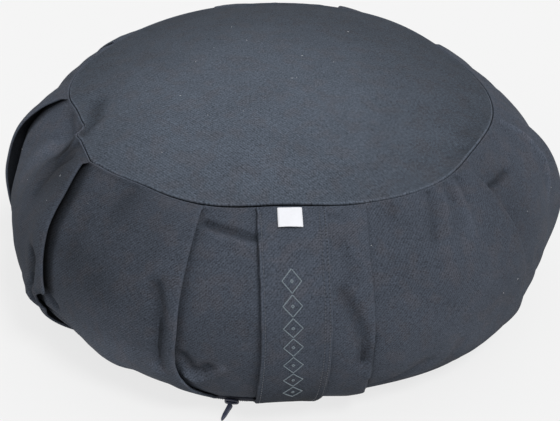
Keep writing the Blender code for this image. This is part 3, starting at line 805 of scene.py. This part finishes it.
def band_tone(azimuth, drop):
    """Painted light and shade of the band's cloth, as a factor of its colour: painted shade towards the
    foot, painted light and shade in patches and along creases.
    """
    tone = shaded_below(drop, FOOT_SHADE)
    for patch in TONES:
        x = np.radians(wrapped(azimuth) - patch["azimuth"]) * GIRTH_RADIUS / (patch["wide"] * MM)
        y = (drop - patch["drop"]) * SIDE_LENGTH / (patch["tall"] * MM)
        tone = tone + patch["tone"] * bell(x) * bell(y)
    for crease in CREASES + FINE_CREASES:
        if crease["tone"]:
            tone = tone + crease["tone"] * near_crease(azimuth, drop, crease)
    return np.maximum(tone, TONE_LEAST)


def seam_groove_shade(azimuth):
    """Darkness of the painted shade in the top seam's groove."""
    return read_table(SEAM_GROOVE_SHADE, "azimuth", "dark", azimuth, 360)


def rolled_edge(azimuth, seam, inner, cloth, order):
    """Rows of a rolled seam edge, from the seam inwards. Order is 1 at the top seam and -1 at the foot."""
    outward = ring_place(azimuth, 1.0, 0.0)
    down = inner - seam
    lean = order * np.arctan2((down * outward).sum(1), -order * down[:, 2])
    centre_r = (seam * outward).sum(1) - BAND_ROLL * np.cos(lean)
    centre_z = seam[:, 2] - BAND_ROLL * np.sin(lean)
    # Painted highlight along the rolled edge, strongest about the front left
    most_lit = bell((azimuth - ROLL_HIGHLIGHT["azimuth"]) / ROLL_HIGHLIGHT["width"])
    edge = ROLL_HIGHLIGHT["least"] + ROLL_HIGHLIGHT["more"] * most_lit
    # Painted shade down the roll into the seam's groove, by azimuth at the top seam and in full at the foot
    dark = seam_groove_shade(azimuth) if order > 0 else np.ones(len(azimuth))
    strip = []
    for k in range(1, ROLL_STEPS + 1):
        turn = lean + order * BAND_ROLL_TURN * k / ROLL_STEPS
        point = ring_place(azimuth, centre_r + BAND_ROLL * np.cos(turn), centre_z + BAND_ROLL * np.sin(turn))
        place = cloth - [0, order * BAND_ROLL * k / 3]
        strip.append((point, place, edge, 1 - (1 - ROLL_TONES[k - 1]) * dark))
    tail = point - outward * BAND_TAIL[0] - [0, 0, order * BAND_TAIL[1]]
    strip.append((tail, cloth - [0, order * 4 * MM], 0 * edge, 1 - (1 - ROLL_TONES[-1]) * dark))
    return strip


def build_band(look):
    """The pleated side band, curled in at both seams."""
    drops = 0.5 - 0.5 * np.cos(np.pi * np.linspace(0.05, 0.95, SIDE_ROWS))
    drops = ((drops - drops[0]) / (drops[-1] - drops[0]))[:, None]
    azimuth, offset, cloth, edge, fold_tone = band_section(drops)
    side = side_point(azimuth, drops, offset)
    cloth = np.stack(np.broadcast_arrays(cloth, drops * SIDE_LENGTH), -1)
    tone = band_tone(azimuth, drops) * fold_tone
    top = rolled_edge(azimuth[0], side[0], side[1], cloth[0], 1)
    foot = rolled_edge(azimuth[-1], side[-1], side[-2], cloth[-1], -1)
    strip = top[::-1] + list(zip(side, cloth, edge, tone)) + foot
    points, cloths, edges, tones = (np.stack(column) for column in zip(*strip))
    faces = grid_faces(*points.shape[:2], True)
    return add_object("band_cover", points, faces.tolist(), look, cloths, {"edge": edges, "tone": tones})


def near_top_crease(x, y, crease):
    """Nearness from 0 to 1 of each place on the top panel to a crease's middle line. x and y are in mm."""
    return bell(distance_to_path(x, y, crease["path"]) / crease["width"])


def top_relief(x, y, rim):
    """Unevenness, creases and rim puckers of the top panel, in metres. x and y are in mm."""
    offset = sum(crease["depth"] * near_top_crease(x, y, crease) for crease in TOP_CREASES)
    for level in TOP_UNEVENNESS:
        cell = level["cell"]
        noise = soft_noise(x / cell + 50.3, (y + 0.3 * x) / cell + 50.7, level["seed"])
        offset = offset + level["depth"] * noise
    turns = np.arctan2(x, -y) / (2 * np.pi) + 0.5
    inset = np.maximum(rim / MM - np.hypot(x, y), 0)
    return (offset + puckers(turns, inset, TOP_PUCKERS)) * smooth(inset / 3.5) * MM


def top_tone(x, y):
    """Painted shade of the top panel, darker away from a place near its front middle and along its creases,
    as a factor of its colour. x and y are in mm.
    """
    away = np.hypot(x - TOP_RIM_SHADE["x"], y - TOP_RIM_SHADE["y"]) / TOP_RIM_SHADE["reach"]
    creases = sum(crease["tone"] * near_top_crease(x, y, crease) for crease in TOP_CREASES)
    return 1 - TOP_RIM_SHADE["amount"] * smooth((away - TOP_RIM_SHADE["start"]) / (1 - TOP_RIM_SHADE["start"])) + creases


def build_top(look):
    """Round top panel with its low crown, its rim curled down into the seam."""
    azimuth = np.arange(TOP_SPOKES) * 360 / TOP_SPOKES - 180
    seam_radius = plain_side(azimuth, 0.0)[0]
    open_share = bell((azimuth - SEAM_OPEN["azimuth"]) / SEAM_OPEN["width"])
    flat_rim = seam_radius - PANEL_RIM - PANEL_ROLL - SEAM_OPEN["extra"] * MM * open_share
    rings = []
    for share in np.linspace(0.004, 1, TOP_RINGS) ** 0.85:
        radius = flat_rim * share
        x, y = np.moveaxis(ring_place(azimuth, radius, 0.0)[:, :2] / MM, 1, 0)
        height = crown_height(azimuth, radius / (seam_radius - GROOVE)) + top_relief(x, y, flat_rim)
        height = height + TOP_RIM_LIFT * np.exp(-(flat_rim - radius) / (5 * MM))
        # Painted highlight along the rim and down its roll
        edge = PANEL_EDGE * smooth((share - 0.985) / 0.015)
        rings.append((ring_place(azimuth, radius, height), edge, top_tone(x, y)))
    # Painted shade down the roll into the top seam's groove, darkest on its tail
    for k in range(1, ROLL_STEPS + 1):
        turn = PANEL_ROLL_TURN * k / ROLL_STEPS
        fall = PANEL_ROLL * (1 - math.cos(turn)) + 0.2 * MM * math.sin(turn)
        point = ring_place(azimuth, flat_rim + PANEL_ROLL * math.sin(turn), height - fall)
        tone = 1 - 0.8 * smooth((math.degrees(turn) - 40) / 70) * seam_groove_shade(azimuth)
        rings.append((point, PANEL_EDGE, tone))
    rings.append((point - [0, 0, PANEL_TAIL], 0.0, 0.2))
    return add_disc("top_cover", rings, look)


def build_bottom(look):
    """Round bottom panel, flat where it rests, its rim curled up into the seam."""
    azimuth = np.arange(TOP_SPOKES) * 360 / TOP_SPOKES - 180
    rim = plain_side(azimuth, 1.0)[0] - PANEL_RIM
    count = FOOT_WAVES["round"]
    turns = azimuth / 360 + 0.5
    rings = []
    for share in np.concatenate([np.linspace(0.01, 0.78, 18), np.linspace(0.80, 1.0, 14)]):
        inset = rim * (1 - share) / MM
        height = base_height(azimuth, rim * share)
        wave = soft_noise(turns * count, inset / 20, FOOT_WAVES["seed"], count) * FOOT_WAVES["depth"] * MM
        height = np.maximum(height + wave * smooth(height / (2 * MM)) * smooth(inset / 3), 0.0)
        # Painted highlight along the rim before it curls up into the seam
        rings.append((ring_place(azimuth, rim * share, height), 0.3 * smooth((share - 0.97) / 0.03), 1.0))
    rings.append((rings[-1][0] + [0, 0, 3 * MM], 0.0, 1.0))
    return add_disc("bottom_cover", rings, look)


def build_handle(look):
    """Flat carry band from seam to seam, with its sewn edges."""
    drops = np.linspace(*HANDLE_DROPS, HANDLE_STEPS[0])[:, None]
    half = HANDLE_WIDTH / 2
    bends = np.linspace(0, 1, 9)[:-1] ** 1.5
    flat = np.linspace(HANDLE_EDGES[0] - half, half - HANDLE_EDGES[1], HANDLE_STEPS[1])
    across = [HANDLE_EDGES[0] * bends - half, flat, half - HANDLE_EDGES[1] * bends[::-1]]
    across = np.concatenate(across)[None, :]
    along = drops * SIDE_LENGTH
    ragged = 0.22 * MM * soft_noise(np.sign(across) * 3 + 20.0, along / (5 * MM), 23)
    middle = handle_azimuth(drops)
    placed = across + ragged * near_handle_edge(np.abs(across))
    azimuth = middle + np.degrees(placed / plain_side(middle, drops)[0])
    outer = handle_surface(azimuth, drops, handle_outer_level(across, drops))
    inner = handle_surface(azimuth, drops, handle_inner_level(across, drops))
    # Painted highlights along both edges, painted shade in the needle holes and towards the foot
    wear_and_highlight = 0.6 * bell((across + half - 0.5 * MM) / (0.6 * MM))
    wear_and_highlight = wear_and_highlight + 0.7 * bell((across - half + 0.8 * MM) / (0.6 * MM))
    pits = stitch_pits(across, along)[1]
    tone = shaded_below(drops, HANDLE_FOOT_SHADE)
    return add_closed_sheet("handle_band", outer, inner, look, across, along, edge=wear_and_highlight, pit=pits, tone=tone)


def on_handle(across, drop, out):
    """Point and outward direction over the handle's outer face."""
    azimuth = handle_azimuth(drop) + np.degrees(across / plain_side(handle_azimuth(drop), drop)[0])
    level = handle_outer_level(across, drop)
    point = handle_surface(azimuth, drop, level + out)
    outward = handle_surface(azimuth, drop, level + out + MM) - point
    return point, outward / np.linalg.norm(outward, axis=-1, keepdims=True)


def lozenge_line(size, middle, steps=9):
    """Closed lozenge as across and along places, in mm, from its top round to its top."""
    wide, tall = size
    corners = np.array([(0, -tall), (wide, 0), (0, tall), (-wide, 0), (0, -tall)])
    share = np.arange(4 * steps + 1) / steps
    return np.stack([np.interp(share, range(5), corners[:, k]) for k in (0, 1)], 1) + [0, middle]


def build_ornament(look):
    """Chain of plain lozenges sewn down the handle in raised thread."""
    tubes = []
    for middle in np.linspace(*CHAIN_DROPS, CHAIN_COUNT) * SIDE_LENGTH / MM:
        for size in (LOZENGE, SMALL_LOZENGE):
            line = lozenge_line(size, middle)
            drop = line[:, 1] * MM / SIDE_LENGTH
            shift = np.radians(CHAIN_AZIMUTH - handle_azimuth(drop)) * CHAIN_RADIUS
            point, outward = on_handle(line[:, 0] * MM + shift, drop, 0.12 * MM)
            beat = 1 + 0.12 * np.sin(np.arange(len(line)) * 2.4)
            tubes.append(tube_points(point, outward, THREAD * beat))
    return add_tubes("handle_ornament", tubes, look)


def build_stitches(look):
    """Thread between the needle holes along the handle's edges."""
    tubes = []
    share = np.linspace(-0.5, 0.5, 7)
    lift = 0.10 * MM * np.cos(share * np.pi) - 0.08 * MM
    thickness = STITCH_THREAD * (0.6 + 0.4 * np.cos(share * 2.6))
    first, last = (int(drop * SIDE_LENGTH / STITCH_PITCH) for drop in HANDLE_DROPS)
    for row in STITCH_ROWS:
        for index in range(first + 2, last - 1):
            drop = (index + 0.5 + share * 0.80) * STITCH_PITCH / SIDE_LENGTH
            point, outward = on_handle(stitch_place(row) + 0 * share, drop, lift)
            tubes.append(tube_points(point, outward, thickness, 5))
    return add_tubes("handle_stitches", tubes, look)


def build_tag(look):
    """White woven tag hanging from the top seam over the handle, its foot a little lifted."""
    width, height = LABEL_SIZE
    share = np.linspace(0, 1, LABEL_STEPS)[:, None]
    drops = LABEL_DROP + share * height / SIDE_LENGTH
    across = np.linspace(-0.5, 0.5, LABEL_STEPS)[None, :] * width
    azimuth = LABEL_AZIMUTH + np.degrees(across / plain_side(LABEL_AZIMUTH, drops)[0])
    on_band = across + np.radians(LABEL_AZIMUTH - handle_azimuth(drops)) * LABEL_RADIUS
    level = handle_inner_level(on_band, drops) + HANDLE_THICK + 0.35 * MM + LABEL_LIFT * smooth(share)
    level = level + 0.25 * MM * np.cos(across / width * 5) * share
    rim = np.abs(across) / width
    round_off = 0.35 * MM * smooth((rim - 0.44) / 0.06)
    outer = handle_surface(azimuth, drops, level + LABEL_THICK - round_off)
    inner = handle_surface(azimuth, drops, level)
    edge = smooth((rim - 0.40) / 0.1)
    return add_closed_sheet("woven_tag", outer, inner, look, across, share * height, edge=edge)


def build_zip_tape(look):
    """The stretch of tape that shows along the bottom seam, in two halves beside the coil."""
    azimuth = np.linspace(ZIP_AZIMUTHS[0], ZIP_AZIMUTHS[1] + ZIP_TAPE_END, ZIP_STEPS[0])[None, :]
    radius = plain_side(azimuth, 1.0)[0] + 0.1 * MM
    thick, tall = ZIP_TAPE
    across = np.linspace(-1, 1, ZIP_STEPS[1])[:, None]
    heights = ZIP_HEIGHT + 0.5 * MM - tall / 2 * across
    full = thick * np.sqrt(1 - np.abs(across) ** 3 * 0.96) - thick * 0.3 * bell(across / 0.3)
    outer = ring_place(azimuth, radius + full, heights)
    inner = ring_place(azimuth, radius, heights)
    return add_closed_sheet("zip_tape_cloth", outer, inner, look, np.radians(azimuth) * ZIP_RADIUS, heights)


def build_zip_coil(look):
    """The coil's turns along the tape."""
    span = math.radians(ZIP_AZIMUTHS[1] - ZIP_AZIMUTHS[0]) * ZIP_RADIUS
    share = np.linspace(-1, 1, 9)
    tubes = []
    for index in range(int(span / TOOTH_PITCH)):
        for side in (-1, 1):
            run = TOOTH_PITCH * (index + 0.5 + 0.25 * side)
            azimuth = ZIP_AZIMUTHS[0] + math.degrees(run / ZIP_RADIUS) + 0 * share
            radius = plain_side(azimuth, 1.0)[0] + ZIP_TAPE[0] * 0.7 + 0.30 * MM * np.cos(share * np.pi / 2)
            line = ring_place(azimuth, radius, ZIP_HEIGHT + side * 0.35 * MM + share * 0.6 * MM)
            tubes.append(tube_points(line, ring_place(azimuth, 1.0, 0.0), 0.20 * MM))
    return add_tubes("zip_coil", tubes, look)


def slider_place():
    """Centre of the slider."""
    tape_face = plain_side(SLIDER_AZIMUTH, 1.0)[0] + ZIP_STAND_OFF + ZIP_TAPE[0]
    return ring_place(SLIDER_AZIMUTH, tape_face + 0.35 * MM + SLIDER_SIZE[1] / 2, ZIP_HEIGHT)


def soft_section(middle, across, width, up, height, power, sides):
    """Ring of points round a middle: an oval that is squarer the lower its power."""
    turn = np.linspace(0, 2 * np.pi, sides, endpoint=False)
    cos, sin = np.cos(turn), np.sin(turn)
    wide = np.sign(cos) * np.abs(cos) ** power * width / 2
    high = np.sign(sin) * np.abs(sin) ** power * height / 2
    return middle + wide[:, None] * across + high[:, None] * up


def build_slider(look):
    """Zip slider: a body narrowing to one end, and a bridge that holds the pull."""
    place = slider_place()
    along = ring_place(SLIDER_AZIMUTH + 90, 1.0, 0.0)
    outward = ring_place(SLIDER_AZIMUTH, 1.0, 0.0)
    length, deep, tall = SLIDER_SIZE
    rings = []
    for share in np.linspace(-1, 1, 25):
        ends = math.sqrt(max(1 - abs(share) ** 6, 0.02))
        centre = place + along * share * length / 2 - outward * deep * 0.19
        width = tall * (0.86 - 0.14 * share) * ends
        rings.append(soft_section(centre, UP, width, outward, deep * 0.62 * ends, 0.45, 24))
    bend = np.linspace(0, np.pi, 13)[:, None]
    line = place - along * np.cos(bend) * length * 0.34 + outward * deep * (0.10 + 0.30 * np.sin(bend))
    bridge = tube_points(line, np.tile(UP, (len(bend), 1)), 0.62 * MM, 10)
    return add_tubes("zip_slider_body", [np.stack(rings), bridge], look)


def build_pull(look):
    """Pull tab: a narrow blade that leans from the slider to its pointed tip just over the floor."""
    place = slider_place()
    outward = ring_place(SLIDER_AZIMUTH + PULL_TURN, 1.0, 0.0)
    sideways = ring_place(SLIDER_AZIMUTH + PULL_TURN + 90, 1.0, 0.0)
    root = place + (SLIDER_SIZE[1] / 2 + PULL_ROOT) * ring_place(SLIDER_AZIMUTH, 1.0, 0.0)
    fall = place[2] - PULL_THICK / 2 - PULL_FLOOR_GAP
    shares = np.linspace(0, 1, 40)
    widths = np.interp(shares, *zip(*PULL_OUTLINE)) * MM
    rings = []
    for share, width in zip(shares, widths):
        middle = root + outward * PULL_LENGTH * share - UP * fall * share
        ends = math.sqrt(max(1 - abs(2 * share - 1) ** 24, 0.05))
        thick = PULL_THICK * ends * (1 - 0.25 * bell((share - 0.55) / 0.20))
        rings.append(soft_section(middle, sideways, width * ends, UP, thick, 0.6, 16))
    return add_tubes("zip_pull_tab", [np.stack(rings)], look)


def build_lint(look):
    """A few short stray fibres on the cloth."""
    source = np.random.RandomState(41)
    ends = [row["azimuth"][2] for row in PLEATS] + [198]
    share = np.linspace(0, 1, 7)
    tubes = []
    for index in range(LINT_COUNT):
        reach, heading, bend = source.uniform(0.6, 1.6), source.uniform(0, 6.28), source.uniform(-1.6, 1.6)
        turn = heading + bend * share
        step_x, step_y = (np.cumsum(run) * reach / len(share) for run in (np.cos(turn), np.sin(turn)))
        if index % 2:
            azimuth, drop = source.uniform(-100, 100), source.uniform(0.12, 0.8)
            if index // 2 < len(LINT_SPECKS):
                azimuth, drop = LINT_SPECKS[index // 2]
            panel = max(k for k in range(len(PLEATS)) if ends[k] <= azimuth)
            if panel == HANDLE_PANEL:
                continue
            azimuth = np.clip(azimuth, ends[panel] + 2, ends[panel + 1] - 4)
            places = azimuth + np.degrees(step_x * MM / GIRTH_RADIUS)
            drops = drop + step_y * MM / SIDE_LENGTH
            lift = panel_offset(panel, places, drops)
            line = side_point(places, drops, lift + 0.10 * MM)
            outward = side_point(places, drops, lift + 1.1 * MM) - line
        else:
            angle, radius = source.uniform(0, 6.28), LINT_REACH * math.sqrt(source.uniform(0, 1))
            x, y = radius * math.cos(angle) + step_x, radius * math.sin(angle) + step_y
            azimuth = np.degrees(np.arctan2(x, -y))
            rim = plain_side(azimuth, 0.0)[0]
            height = crown_height(azimuth, np.hypot(x, y) * MM / (rim - GROOVE))
            height = height + top_relief(x, y, rim - PANEL_RIM - PANEL_ROLL)
            line = np.stack([x * MM, y * MM, height + 0.08 * MM], -1)
            outward = np.tile(UP, (len(share), 1))
        tubes.append(tube_points(line, outward, LINT_THREAD, 4))
    return add_tubes("lint_fibres", tubes, look)


def add_node(tree, kind, inputs, **settings):
    """New node with its settings, its inputs set to values or joined to other nodes."""
    node = tree.nodes.new("ShaderNode" + kind)
    for name, setting in settings.items():
        setattr(node, name, setting)
    for key, given in inputs.items():
        if isinstance(given, bpy.types.NodeSocket):
            tree.links.new(given, node.inputs[key])
        else:
            node.inputs[key].default_value = given
    return node


class Nodes:
    """Short calls for one material's nodes."""

    def __init__(self, name):
        self.material = bpy.data.materials.new(name)
        self.material.use_nodes = True
        self.tree = self.material.node_tree
        self.shader = self.tree.nodes["Principled BSDF"]

    def add(self, kind, inputs, **settings):
        """New node in this material."""
        return add_node(self.tree, kind, inputs, **settings)

    def math(self, operation, *values):
        """One sum of two or three values."""
        return self.add("Math", dict(enumerate(values)), operation=operation).outputs[0]

    def plus(self, total, *terms):
        """A total plus each value, counted from its middle, times its weight."""
        for value, weight in terms:
            total = self.math("MULTIPLY_ADD", self.math("SUBTRACT", value, 0.5), weight, total)
        return total

    def cloth(self, across, along):
        """Place on the cloth, counted in cells of a size across and along it."""
        source = self.add("UVMap", {}, uv_map="cloth").outputs[0]
        return self.add("Mapping", {"Vector": source, "Scale": (1 / across, 1 / along, 1)}).outputs[0]

    def solid(self, cell):
        """Place on the object, counted in cells."""
        source = self.add("TexCoord", {}).outputs["Object"]
        return self.add("Mapping", {"Vector": source, "Scale": (1 / cell,) * 3}).outputs[0]

    def noise(self, place, detail=2.0, roughness=0.5):
        """Noise from 0 to 1, one cell to a unit."""
        inputs = {"Vector": place, "Scale": 1.0, "Detail": detail, "Roughness": roughness}
        return self.add("TexNoise", inputs).outputs[0]

    def ribs(self, direction, place, distortion=0.4):
        """Even ribs from 0 to 1, one rib to a unit."""
        inputs = {"Vector": place, "Scale": RIB_SCALE, "Distortion": distortion, "Detail": 1.0}
        return self.add("TexWave", inputs, wave_type="BANDS", bands_direction=direction).outputs[1]

    def attribute(self, name):
        """A point attribute's value."""
        return self.add("Attribute", {}, attribute_name=name).outputs["Fac"]

    def bump(self, height, distance):
        """Bump into the shader's normal."""
        node = self.add("Bump", {"Strength": 1.0, "Distance": distance, "Height": height})
        self.tree.links.new(node.outputs[0], self.shader.inputs["Normal"])

    def colour(self, base, factor, tint=None):
        """Base colour, mixed towards a tint where one is given, times a factor."""
        if tint:
            mix = self.add("Mix", {}, data_type="RGBA")
            for key, given in ((6, (*base, 1.0)), (7, (*tint[1], 1.0))):
                mix.inputs[key].default_value = given
            self.tree.links.new(tint[0], mix.inputs[0])
            base = mix.outputs[2]
        shade = self.add("VectorMath", {0: base, "Scale": factor}, operation="SCALE")
        self.tree.links.new(shade.outputs[0], self.shader.inputs["Base Color"])

    def finish(self, values):
        """Set the shader's even values and give the material."""
        for name, value in values.items():
            self.shader.inputs[name].default_value = value
        return self.material


def cotton(name, base, grain, cell, rib):
    """Matt cotton: a fine twill with slubs, speckle and mottling, painted highlights along edges, painted
    light and shade from the tone attribute and painted shade in the needle holes.
    """
    nodes = Nodes(name)
    warp = nodes.ribs("X", nodes.cloth(rib, rib), 0.3)
    weft = nodes.ribs("Y", nodes.cloth(rib, rib), 0.3)
    twill = nodes.ribs("DIAGONAL", nodes.cloth(TWILL_CELL / 1.414, TWILL_CELL / 1.414), 1.0)
    slub_across = nodes.noise(nodes.cloth(*SLUB), 1.5)
    slub_along = nodes.noise(nodes.cloth(*SLUB[::-1]), 1.5)
    speckle = nodes.noise(nodes.cloth(cell, cell), 2.0, 0.7)
    threads = ((speckle, grain * 1.4), (slub_across, grain), (slub_along, grain), (twill, grain * 0.24))
    mottles = [(nodes.noise(nodes.solid(size)), weight) for size, weight in MOTTLES]
    total = nodes.plus(1.0, *threads, *mottles)
    # The edge share adds painted highlight, the tone gives painted light and shade, the needle holes get
    # painted shade
    total = nodes.math("MULTIPLY_ADD", nodes.attribute("edge"), EDGE_HIGHLIGHT, total)
    total = nodes.math("MULTIPLY", nodes.attribute("tone"), total)
    total = nodes.math("MULTIPLY", total, nodes.math("MULTIPLY_ADD", nodes.attribute("pit"), -PIT_SHADE, 1.0))
    warm = nodes.math("SUBTRACT", nodes.noise(nodes.solid(WARM_CELL)), 0.48)
    warm = nodes.math("MAXIMUM", nodes.math("MULTIPLY", warm, 1.3), 0.0)
    nodes.colour(base, total, (nodes.math("MINIMUM", warm, WARM_MOST), WARM))
    height = nodes.math("MULTIPLY", nodes.math("ADD", warp, weft), 0.35)
    for value, weight in ((slub_across, 0.6), (slub_along, 0.6), (twill, 0.4), (speckle, 1.0)):
        height = nodes.math("MULTIPLY_ADD", value, weight, height)
    nodes.bump(height, 0.22 * MM)
    return nodes.finish({"Roughness": 0.92, "Specular IOR Level": 0.10, "Sheen Weight": 0.012,
                         "Sheen Roughness": 0.45, "Sheen Tint": (0.80, 0.88, 1.0, 1.0)})


def woven_white():
    """White tag weave: fine ribs, and folded edges slightly grey as painted shade."""
    nodes = Nodes("tag_weave")
    ribs = nodes.ribs("Y", nodes.cloth(0.4 * MM, 0.4 * MM))
    warp = nodes.ribs("X", nodes.cloth(0.6 * MM, 0.6 * MM))
    grey = nodes.math("MULTIPLY_ADD", ribs, 0.03, 0.97)
    # The edge share greys the folded edges a little as painted shade
    nodes.colour(TAG_COLOUR, nodes.math("MULTIPLY_ADD", nodes.attribute("edge"), -0.06, grey))
    nodes.bump(nodes.math("ADD", ribs, warp), 0.06 * MM)
    return nodes.finish({"Roughness": 0.6, "Sheen Weight": 0.2})


def thread_look(name, colour, roughness=0.6):
    """Sewing thread: fine twist and slight change of shade."""
    nodes = Nodes(name)
    twist = nodes.noise(nodes.solid(0.4 * MM), 1.0)
    nodes.colour(colour, nodes.plus(1.0, (twist, 0.5)))
    nodes.bump(twist, 0.08 * MM)
    return nodes.finish({"Roughness": roughness, "Sheen Weight": 0.3})


def zip_cloth_look():
    """Dark zip tape: a ribbed weave."""
    nodes = Nodes("zip_tape_weave")
    ribs = nodes.ribs("X", nodes.cloth(0.5 * MM, 0.5 * MM))
    nodes.colour(ZIP_COLOUR, nodes.math("MULTIPLY_ADD", ribs, 0.3, 0.85))
    nodes.bump(ribs, 0.1 * MM)
    return nodes.finish({"Roughness": 0.85})


def enamel_look():
    """Dark enamel with soft wear."""
    nodes = Nodes("zip_enamel_paint")
    wear_and_highlight = nodes.noise(nodes.solid(2.5 * MM), 3.0)
    nodes.colour(ENAMEL_COLOUR, nodes.math("MULTIPLY_ADD", wear_and_highlight, 0.5, 0.75))
    nodes.bump(wear_and_highlight, 0.08 * MM)
    return nodes.finish({"Roughness": 0.38, "Coat Weight": 0.3})


def floor_look():
    """Pale plain floor."""
    return Nodes("pale_floor").finish({
        "Base Color": (FLOOR_SHADE, FLOOR_SHADE, FLOOR_SHADE, 1.0), "Roughness": 1.0,
        "Specular IOR Level": 0.0, "Emission Color": (1.0, 1.0, 1.0, 1.0), "Emission Strength": FLOOR_GLOW,
    })


def add_lamp():
    """Soft sun, above and to the right of the camera."""
    data = bpy.data.lights.new("lamp", "SUN")
    data.energy = LAMP["power"]
    data.angle = math.radians(LAMP["spread"])
    made = bpy.data.objects.new("lamp", data)
    bpy.context.scene.collection.objects.link(made)
    lift = math.radians(LAMP["elevation"])
    towards = Vector(ring_place(LAMP["azimuth"], math.cos(lift), math.sin(lift)))
    made.location = towards * 2
    made.rotation_euler = (-towards).to_track_quat("-Z", "Y").to_euler()


def add_stage():
    """Floor, lamp and the pale room."""
    corners = ring_place(np.array([-45, 45, 135, 225]), FLOOR_REACH, FLOOR_LEVEL)
    floor = add_object("floor", corners, [[0, 1, 2, 3]], floor_look())
    floor.visible_diffuse = False
    add_lamp()
    world = bpy.data.worlds.new("pale_room")
    bpy.context.scene.world = world
    world.use_nodes = True
    tree = world.node_tree
    back = tree.nodes["Background"]
    back.inputs[0].default_value = (1.0, 1.0, 1.0, 1.0)
    direction = add_node(tree, "TexCoord", {}).outputs["Generated"]
    height = add_node(tree, "SeparateXYZ", {0: direction}).outputs["Z"]
    level = add_node(tree, "Math", {0: height, 1: ROOM_RISE, 2: ROOM_LEVEL}, operation="MULTIPLY_ADD")
    tree.links.new(level.outputs[0], back.inputs[1])


def add_camera():
    """Camera at the photo's place and angle."""
    lift, yaw, away = math.radians(CAMERA["lift"]), CAMERA["yaw"], CAMERA["away"]
    pitch = lift + CAMERA["tilt"]
    camera = bpy.data.objects.new("camera", bpy.data.cameras.new("camera"))
    bpy.context.scene.collection.objects.link(camera)
    camera.data.sensor_width = SENSOR_WIDTH
    camera.data.lens = CAMERA["focal"] / IMAGE_WIDTH * SENSOR_WIDTH
    camera.data.clip_start = 0.01
    ahead = Vector((math.sin(yaw) * math.cos(pitch), math.cos(yaw) * math.cos(pitch), -math.sin(pitch)))
    right = Vector((math.cos(yaw), -math.sin(yaw), 0))
    turn = Matrix((right, right.cross(ahead), -ahead)).transposed().to_4x4()
    turn.translation = Vector((0, -math.cos(lift) * away, CAMERA["aim"] + math.sin(lift) * away))
    camera.matrix_world = turn
    bpy.context.scene.camera = camera


def dress():
    """Build every cloth piece and fitting over the frame."""
    panel_look = cotton("panel_twill", PANEL_COLOUR, 1.06, 1.3 * MM, 0.6 * MM)
    enamel = enamel_look()
    band = build_band(cotton("band_twill", BAND_COLOUR, 1.04, 0.9 * MM, 0.6 * MM))
    top = build_top(panel_look)
    bottom = build_bottom(panel_look)
    handle = build_handle(cotton("handle_weave", HANDLE_COLOUR, 1.00, 0.9 * MM, 0.7 * MM))
    ornament = build_ornament(thread_look("ornament_thread", THREAD_COLOUR))
    stitches = build_stitches(thread_look("seam_thread", HANDLE_COLOUR))
    tag = build_tag(woven_white())
    places = (
        (band, "band_cotton", "side_band"),
        (top, "panel_cotton", "top_panel"),
        (bottom, "panel_cotton", "bottom_panel"),
        (handle, "handle_cotton", "carry_handle"),
        (ornament, "handle_cotton", None),
        (stitches, "handle_cotton", None),
        (tag, "white_tag", "woven_label"),
        (build_zip_tape(zip_cloth_look()), "zip_cloth", "zip_tape"),
        (build_zip_coil(thread_look("coil_nylon", ZIP_COLOUR, 0.45)), "zip_cloth", None),
        (build_slider(enamel), "zip_enamel", "zip_slider"),
        (build_pull(enamel), "zip_enamel", "zip_pull"),
        (build_lint(thread_look("lint_cotton", LINT_COLOUR, 0.9)), "panel_cotton", None),
    )
    for piece, slot, node in places:
        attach(piece, "root")
        if node:
            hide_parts(node)


dress()
add_stage()
add_camera()
bpy.context.scene.view_settings.view_transform = "Standard"
